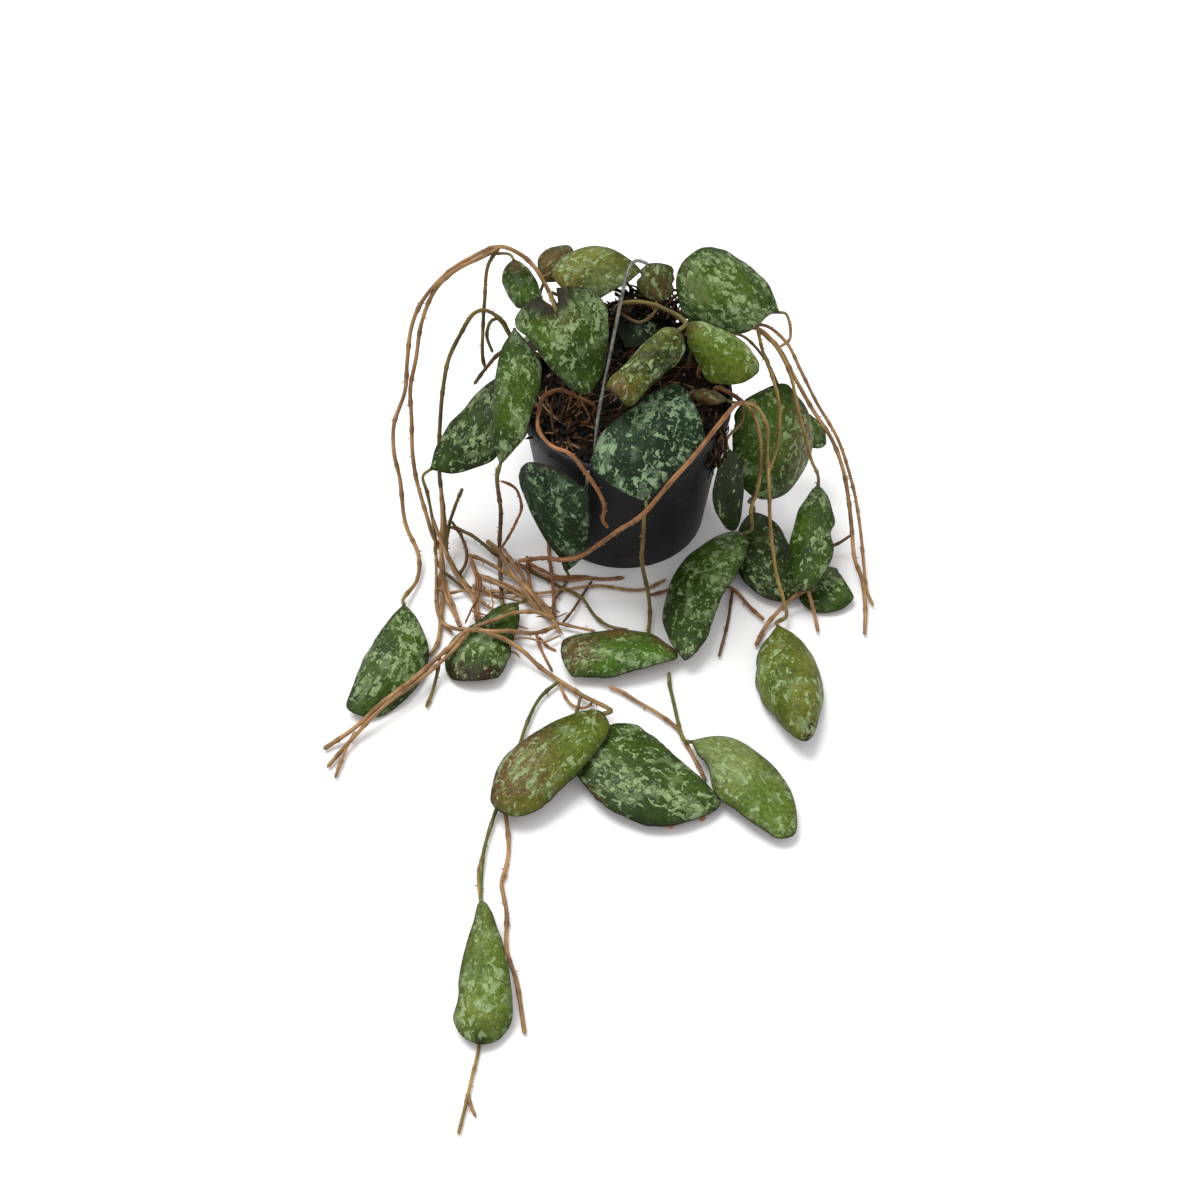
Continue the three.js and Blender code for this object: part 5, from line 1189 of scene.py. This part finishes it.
# %% Pot form
foot_radius = BASE_RADIUS - FOOT_WIDTH
rim_low = POT_HEIGHT - RIM_DEPTH
pot_profile = rounded_profile([
    (AXIS_RADIUS, 0), (HUB_RADIUS, 0), (HUB_RADIUS, FOOT_DEPTH), (foot_radius, FOOT_DEPTH),
    (foot_radius, 0), (BASE_RADIUS, 0), (wall_radius(30), 30), (wall_radius(60), 60),
    (WALL_TOP_RADIUS, rim_low), (RIM_RADIUS - RIM_TAPER, rim_low), (RIM_RADIUS, POT_HEIGHT - 2),
    (RIM_RADIUS, POT_HEIGHT), (wall_radius(POT_HEIGHT) - WALL, POT_HEIGHT),
    (wall_radius(POT_FLOOR_Z) - WALL, POT_FLOOR_Z), (AXIS_RADIUS, POT_FLOOR_Z)], CORNER_RADIUS)
heights = pot_profile[:, 1:]
outside = (pot_profile[:, :1] > wall_radius(heights) - 0.4) & (heights > 0.6)
rib = RIB_DEPTH * (0.5 + 0.5 * np.cos(RIB_COUNT * even_turn(POT_SIDES))) ** 3
low = np.clip((RIB_TOP - heights) / RIB_FADE, 0, 1) * np.clip(heights / 3, 0, 1) * outside
pot_points = turned(pot_profile, POT_SIDES, -rib * low)
print("pot profile of", len(pot_profile), "points")

# %% [markdown]
# The pot finish is nearly black with a blue cast. A noise that is squeezed to thin level
# bands gives the lines of the mould, in colour, gloss and bump alike, and a little soil
# dust greys the foot and the rim.

# %% Pot finish
def pot_finish():
    finish = Finish("black_plastic", Roughness=0.45, Specular_IOR_Level=0.28)
    place = finish.place()
    level = finish.noise(place, (6, 6, 700), 3, 0.6)
    scuff = finish.noise(place, (60, 60, 90), 3, 0.6)
    dust = finish.noise(place, 70, 3, 0.6)
    black = finish.mix(finish.band(level, 0.35, 0.7), paint(8, 8, 12), paint(26, 26, 32))
    black = finish.over(scuff, 0.58, 0.75, 0.35, black, paint(48, 46, 50))
    black = finish.over(dust, 0.58, 0.78, 0.25, black, paint(70, 56, 44))
    return finish.feed(
        Base_Color=black,
        Roughness=0.34 + 0.3 * level + 0.1 * scuff,
        Normal=finish.bump(level + 0.2 * scuff, 0.00015))


# %% Drilled holes
def drill_out(piece, drills):
    """Takes round drills out of a piece with a live cut, and keeps the result as its mesh."""
    for radius, start, end in drills:
        ring, _ = tube(np.array([start, end], float), np.array([radius, radius]), DRILL_SIDES)
        drill = make_piece("drill", ring, None)
        cut = piece.modifiers.new("cut", "BOOLEAN")
        cut.operation, cut.object, cut.solver = "DIFFERENCE", drill, "EXACT"
        bpy.context.view_layer.update()
        whole = piece.evaluated_get(bpy.context.evaluated_depsgraph_get())
        mesh = bpy.data.meshes.new_from_object(whole)
        piece.modifiers.remove(cut)
        piece.data = mesh
        bpy.data.objects.remove(drill)


def on_circle(radius, angle, z):
    return [(radius * np.cos(turn), radius * np.sin(turn), z) for turn in angle]


pot = make_piece("pot_wall", pot_points, pot_finish())
drain = even_turn(DRAIN_HOLES)
rim_holes = np.radians(HOLE_ANGLES)
drills = [(DRAIN_HOLE_RADIUS, *ends) for ends in zip(
    *(on_circle(DRAIN_CIRCLE_RADIUS, drain, z) for z in DRAIN_DRILL_ENDS))]
drills += [(WIRE_HOLE_RADIUS, *ends) for ends in zip(
    *(on_circle(radius, rim_holes, WIRE_HOLE_Z) for radius in WIRE_DRILL_ENDS))]
drill_out(pot, drills)
print("pot with", len(drills), "holes,", show(pot, "pot", "pot"), "faces")

# %% [markdown]
# ## Soil
# The soil fills the pot to a bumpy top. It is turned like the pot, and then each top point
# is lifted by waves and crumbs. Loose chips of bark and thin roots lie on it.

# %% Soil numbers
SOIL_GAP = 0.3
SOIL_TOP = 85
SOIL_BUMP = 1.6
SOIL_SIDES = 150
SOIL_RINGS = 60
SOIL_MIDDLE = 0.004
CRUMB = 0.7
CRUMB_SEED = 5
CRUMB_LENGTHS = (2.2, 7)
CRUMB_WAVES = 26


# %% Soil form
def soil_surface(x, y):
    """The level, plus three slow waves over the radius and the angle, plus fine crumbs."""
    radius, angle = np.hypot(x, y), np.arctan2(y, x)
    wave = (np.sin(3 * angle + 0.09 * radius) + np.sin(5 * angle + 2 - 0.21 * radius)
            + np.cos(0.16 * radius))
    rng = np.random.default_rng(CRUMB_SEED)
    crumbs = waves(np.stack([x, y], -1), rng, CRUMB_LENGTHS, CRUMB_WAVES)
    return SOIL_TOP + SOIL_BUMP / 3 * wave + CRUMB * crumbs


soil_low = POT_FLOOR_Z + SOIL_GAP
soil_wall = wall_radius(SOIL_TOP - 3) - WALL - SOIL_GAP - 0.1
rings = soil_wall * np.linspace(1, SOIL_MIDDLE, SOIL_RINGS)[:, None]
x, y = rings * np.cos(even_turn(SOIL_SIDES)), rings * np.sin(even_turn(SOIL_SIDES))
soil_upper = np.stack([x, y, soil_surface(x, y)], -1)
soil_lower = turned(np.array([
    (AXIS_RADIUS, soil_low), (wall_radius(soil_low) - WALL - SOIL_GAP, soil_low)]), SOIL_SIDES)
print("soil top from", soil_upper[..., 2].min().round(1), "to", soil_upper[..., 2].max().round(1))


# %% Soil finish
def soil_finish():
    finish = Finish("potting_mix", Roughness=0.95, Specular_IOR_Level=0.1)
    place = finish.place()
    crumb = finish.noise(place, 900, 4, 0.7)
    patch = finish.noise(place, 160, 3, 0.6)
    dark = finish.mix(finish.band(crumb, 0.35, 0.65), paint(8, 6, 5), paint(44, 36, 29))
    return finish.feed(
        Base_Color=finish.over(patch, 0.5, 0.75, 0.4, dark, paint(72, 54, 40)),
        Roughness=0.8 + 0.2 * patch,
        Normal=finish.bump(crumb + 0.6 * patch, 0.0008, 1))


def tinted_finish(name, dullness):
    """A finish whose colour is each chip's or root's own, roughened by a fine noise."""
    finish = Finish(name, Roughness=dullness, Specular_IOR_Level=0.15)
    grain = finish.noise(finish.place(), 1400, 3, 0.6)
    return finish.feed(
        Base_Color=finish.shades(finish.band(grain, 0.3, 0.7), finish.attribute("tone", 0),
                                 (0.6, 0.6, 0.6), (1.25, 1.25, 1.25)),
        Normal=finish.bump(grain, 0.0003))


soil = make_piece("soil_bed", np.concatenate([soil_lower, soil_upper]), soil_finish())
print("soil with", show(soil, "soil", "soil"), "faces")

# %% Bark chips
CHIP_COUNT = 520
CHIP_SEED = 21
CHIP_ROWS = 5
CHIP_SIDES = 6
CHIP_TONES = np.array([(34, 25, 19), (52, 37, 27), (74, 53, 38), (22, 17, 14), (108, 84, 62),
                       (168, 158, 144)], float)
CHIP_SHARES = (0.3, 0.28, 0.17, 0.17, 0.06, 0.02)
CHIP_LEAST = (0.5, 0.6, 1.0)
CHIP_GREATEST = (1.3, 1.9, 3.6)
CHIP_DENTS = (0.7, 1.15)
CHIP_LIFT = 0.25


def soil_chips(rng):
    """Each chip is a ball of a few points, squeezed along three turned axes and dented by
    a random number on each point. All chips are one array: chip, row, column, direction."""
    tilt = np.linspace(np.pi - 0.12, 0.12, CHIP_ROWS)[:, None]
    turn = even_turn(CHIP_SIDES)
    ball = np.stack([np.sin(tilt) * np.cos(turn), np.sin(tilt) * np.sin(turn),
                     np.cos(tilt) * np.ones_like(turn)], -1)
    dent = rng.uniform(*CHIP_DENTS, size=(CHIP_COUNT, CHIP_ROWS, CHIP_SIDES, 1))
    size = rng.uniform(CHIP_LEAST, CHIP_GREATEST, size=(CHIP_COUNT, 3))
    axes = np.linalg.qr(rng.normal(size=(CHIP_COUNT, 3, 3)))[0]
    axes[:, :, 0] *= np.linalg.det(axes)[:, None]
    body = np.einsum("nrcd,nkd->nrck", ball * dent * size[:, None, None, :], axes)
    far = (soil_wall - 4) * np.sqrt(rng.uniform(0, 1, CHIP_COUNT))
    around = rng.uniform(0, 2 * np.pi, CHIP_COUNT)
    x, y = far * np.cos(around), far * np.sin(around)
    place = np.stack([x, y, soil_surface(x, y) + CHIP_LIFT], -1)
    tone = light_value(*CHIP_TONES[rng.choice(len(CHIP_TONES), CHIP_COUNT, p=CHIP_SHARES)].T).T
    return body + place[:, None, None, :], tone


chip_points, chip_tones = soil_chips(np.random.default_rng(CHIP_SEED))
chips = make_piece("soil_chips", chip_points, tinted_finish("bark_chips", 0.85),
                   {"tone": np.repeat(chip_tones, CHIP_ROWS * CHIP_SIDES, axis=0)},
                   repeated_grid(CHIP_COUNT, CHIP_ROWS, CHIP_SIDES))
print(CHIP_COUNT, "chips,", show(chips, "soil"), "faces")

# %% Fine roots
ROOT_COUNT = 46
ROOT_BENDS = 7
ROOT_SEED = 33
ROOT_SIDES = 6
ROOT_STRIDES = (2.5, 4.5)
ROOT_HEIGHTS = (0.2, 1.4)
ROOT_RADII = (0.22, 0.42)
ROOT_SPACING = 1.2
ROOT_END = 1.5
ROOT_TONES = ((120, 88, 60), (150, 122, 92), (90, 62, 44))


def thread(places, radius, tone, spacing, end):
    """Points, values and faces of a thin root: a tube along a smooth line, in one tone."""
    run, line = smooth_line(places, spacing)
    skin, _ = tube(line, radius * rounded_ends(run, end), ROOT_SIDES)
    points = skin.reshape(-1, 3)
    return points, {"tone": np.tile(tone, (len(points), 1))}, closed_grid(len(run), ROOT_SIDES)


def root_on_soil(rng):
    """A thin root wanders over the soil: its heading changes by a running sum of turns."""
    start_far, start_round = rng.uniform(8, 46), rng.uniform(0, 2 * np.pi)
    heading = rng.uniform(0, 2 * np.pi) + np.cumsum(rng.normal(0, 0.5, size=ROOT_BENDS))
    stride = rng.uniform(*ROOT_STRIDES, size=ROOT_BENDS)[:, None]
    steps = stride * np.stack([np.cos(heading), np.sin(heading)], -1)
    ground = np.array([start_far * np.cos(start_round), start_far * np.sin(start_round)])
    ground = ground + np.cumsum(steps, axis=0)
    ground *= np.minimum(1, (soil_wall - 3) / np.linalg.norm(ground, axis=1))[:, None]
    height = soil_surface(ground[:, 0], ground[:, 1]) + rng.uniform(*ROOT_HEIGHTS, size=ROOT_BENDS)
    return np.column_stack([ground, height]), rng.uniform(*ROOT_RADII)


rng = np.random.default_rng(ROOT_SEED)
parts = [thread(*root_on_soil(rng), light_value(*ROOT_TONES[number % len(ROOT_TONES)]),
                ROOT_SPACING, ROOT_END) for number in range(ROOT_COUNT)]
roots = make_joined("soil_roots", parts, tinted_finish("fine_roots", 0.7))
print(ROOT_COUNT, "roots,", show(roots, "soil"), "faces")

# %% [markdown]
# ## Root mats
# Thin roots fill the hollows between the leaves, hang over the rim and lie in a tangle at
# the foot. The near-black ones in the hollow behind the crown, in the left hollow and down
# the right of the rim are also painted shade: dark masses where those places lie in
# shadow. Drawing each by hand would take long, and none of them matters by itself. So a
# root is a random walk that is pressed into an egg-shaped region, and each region has its
# own thickness, number and colours.

# %% Root mat numbers
MAT_SEED = 57
MAT_STEPS = 8
MAT_SPACING = 2
MAT_END = 3
MAT_SHADES = (0.7, 1.2)
# Near-black root colours. In the hollows they are also painted shade.
SHADE_DARK_ROOTS = ((30, 21, 15), (50, 34, 24), (22, 17, 13), (96, 70, 46))
PALE_ROOTS = ((162, 124, 84), (136, 100, 64), (110, 80, 54), (176, 142, 104))
MAT_KEYS = ("at", "reach", "count", "radius", "stride", "drift", "lean", "tones")
# Middle and reach in mm, number, least and greatest radius in mm, and the walk and colours
ROOT_MATS = [dict(zip(MAT_KEYS, row)) for row in [
    # The first mat fills the shaded hollow behind the crown with near-black roots, and the third fills
    # the shaded hollow at the left: painted shade.
    ((12, 38, 116), (26, 9, 24), 260, (0.5, 1.1), 0.14, 0.35, (0, 0, 0), SHADE_DARK_ROOTS),
    ((-36, -12, 87), (17, 24, 4), 26, (0.3, 0.8), 0.2, 0.25, (0, 0, 0), PALE_ROOTS),
    ((-38, -12, 88), (16, 24, 4), 60, (0.5, 1.1), 0.2, 0.25, (0, 0, 0), SHADE_DARK_ROOTS),
    ((50, -32, 84), (6, 5, 20), 80, (0.4, 1.0), 0.16, 0.3, (0, 0, -0.8), SHADE_DARK_ROOTS),
    ((-60, -80, 4), (40, 36, 4), 14, (0.35, 0.6), 0.14, 0.3, (0.5, -0.6, 0), PALE_ROOTS),
]]


# %% Root mats
def mat_root(mat, rng):
    """Eight places, one stride apart, with a heading that drifts. The walk is centred on a
    random place in a ball of radius 1, and the ball is stretched to the region."""
    middle = rng.normal(size=3)
    middle *= rng.uniform() ** 0.5 / np.linalg.norm(middle)
    bends = np.cumsum(rng.normal(0, mat["drift"], (MAT_STEPS, 3)), axis=0)
    heading = rng.normal(size=3) * 0.6 + mat["lean"] + bends
    heading /= np.linalg.norm(heading, axis=1, keepdims=True)
    walk = np.cumsum(heading * mat["stride"], axis=0)
    walk += middle - walk.mean(0)
    radius = rng.uniform(*mat["radius"])
    place = np.array(mat["at"]) + walk * mat["reach"]
    place[:, 2] = np.maximum(place[:, 2], radius + 0.2)
    return place, radius


def tinted(tones, number, rng):
    """One of the tones in turn, a little darker or lighter."""
    return light_value(*tones[number % len(tones)]) * rng.uniform(*MAT_SHADES)


rng = np.random.default_rng(MAT_SEED)
parts = [thread(*mat_root(mat, rng), tinted(mat["tones"], number, rng), MAT_SPACING, MAT_END)
         for mat in ROOT_MATS for number in range(mat["count"])]
mats = make_joined("root_mats", parts, tinted_finish("wild_roots", 0.7))
print("root mats of", show(mats, "stem"), "faces")

# %% [markdown]
# ## Wire handle
# The pot hangs from one bent steel wire, 2 mm thick. Its tail hangs outside the pot, and it
# passes through a hole in the rim, bends up and arches over the plant to a second hole. It
# is a tube along a smooth line, as the stems are.

# %% Wire
WIRE_RADIUS = 1
WIRE_SPACING = 0.8
WIRE_SIDES = 14
WIRE_END = 0.5
WIRE_PATH = [
    (-23, -48.5, 24), (-23.4, -53, 55), (-22, -58, 80), (-21.4, -58.8, 86), (-21.3, -58.7, 89.5),
    (-20.6, -56.6, 91.5), (-18.6, -51.2, 91.5), (-17.9, -48.4, 93.5), (-17.4, -46, 97),
    (-15.6, -36, 112), (-10.2, -18, 133.7), (-4.8, 2, 152.5), (-0.5, 17, 165), (2, 24, 167.9),
    (4.5, 30, 166.2), (8, 38, 159.5), (13, 46, 149), (15, 51, 136), (19, 52, 118), (26, 46, 100),
    (26.6, 46.2, 95), (27.4, 47.4, 91.8), (30.4, 52.6, 91.5), (31, 53.8, 88.5), (31, 53.8, 84)]


def wire_finish():
    finish = Finish("galvanised_wire", Roughness=0.4, Metallic=1)
    spangle = finish.noise(finish.place(), 420, 3, 0.6)
    return finish.feed(
        Base_Color=finish.mix(finish.band(spangle, 0.3, 0.7), paint(88, 88, 84), paint(142, 142, 136)),
        Roughness=0.28 + 0.3 * spangle,
        Normal=finish.bump(spangle, 0.0001, 0.5))


wire_run, wire_line = smooth_line(WIRE_PATH, WIRE_SPACING)
wire_skin, _ = tube(wire_line, WIRE_RADIUS * rounded_ends(wire_run, WIRE_END), WIRE_SIDES)
show(make_piece("wire_bow", wire_skin, wire_finish()), "wire", "wire_handle")
print("wire of", wire_run[-1].round(), "mm")

# %% [markdown]
# ## Update the scene

# %% Update
bpy.context.view_layer.update()
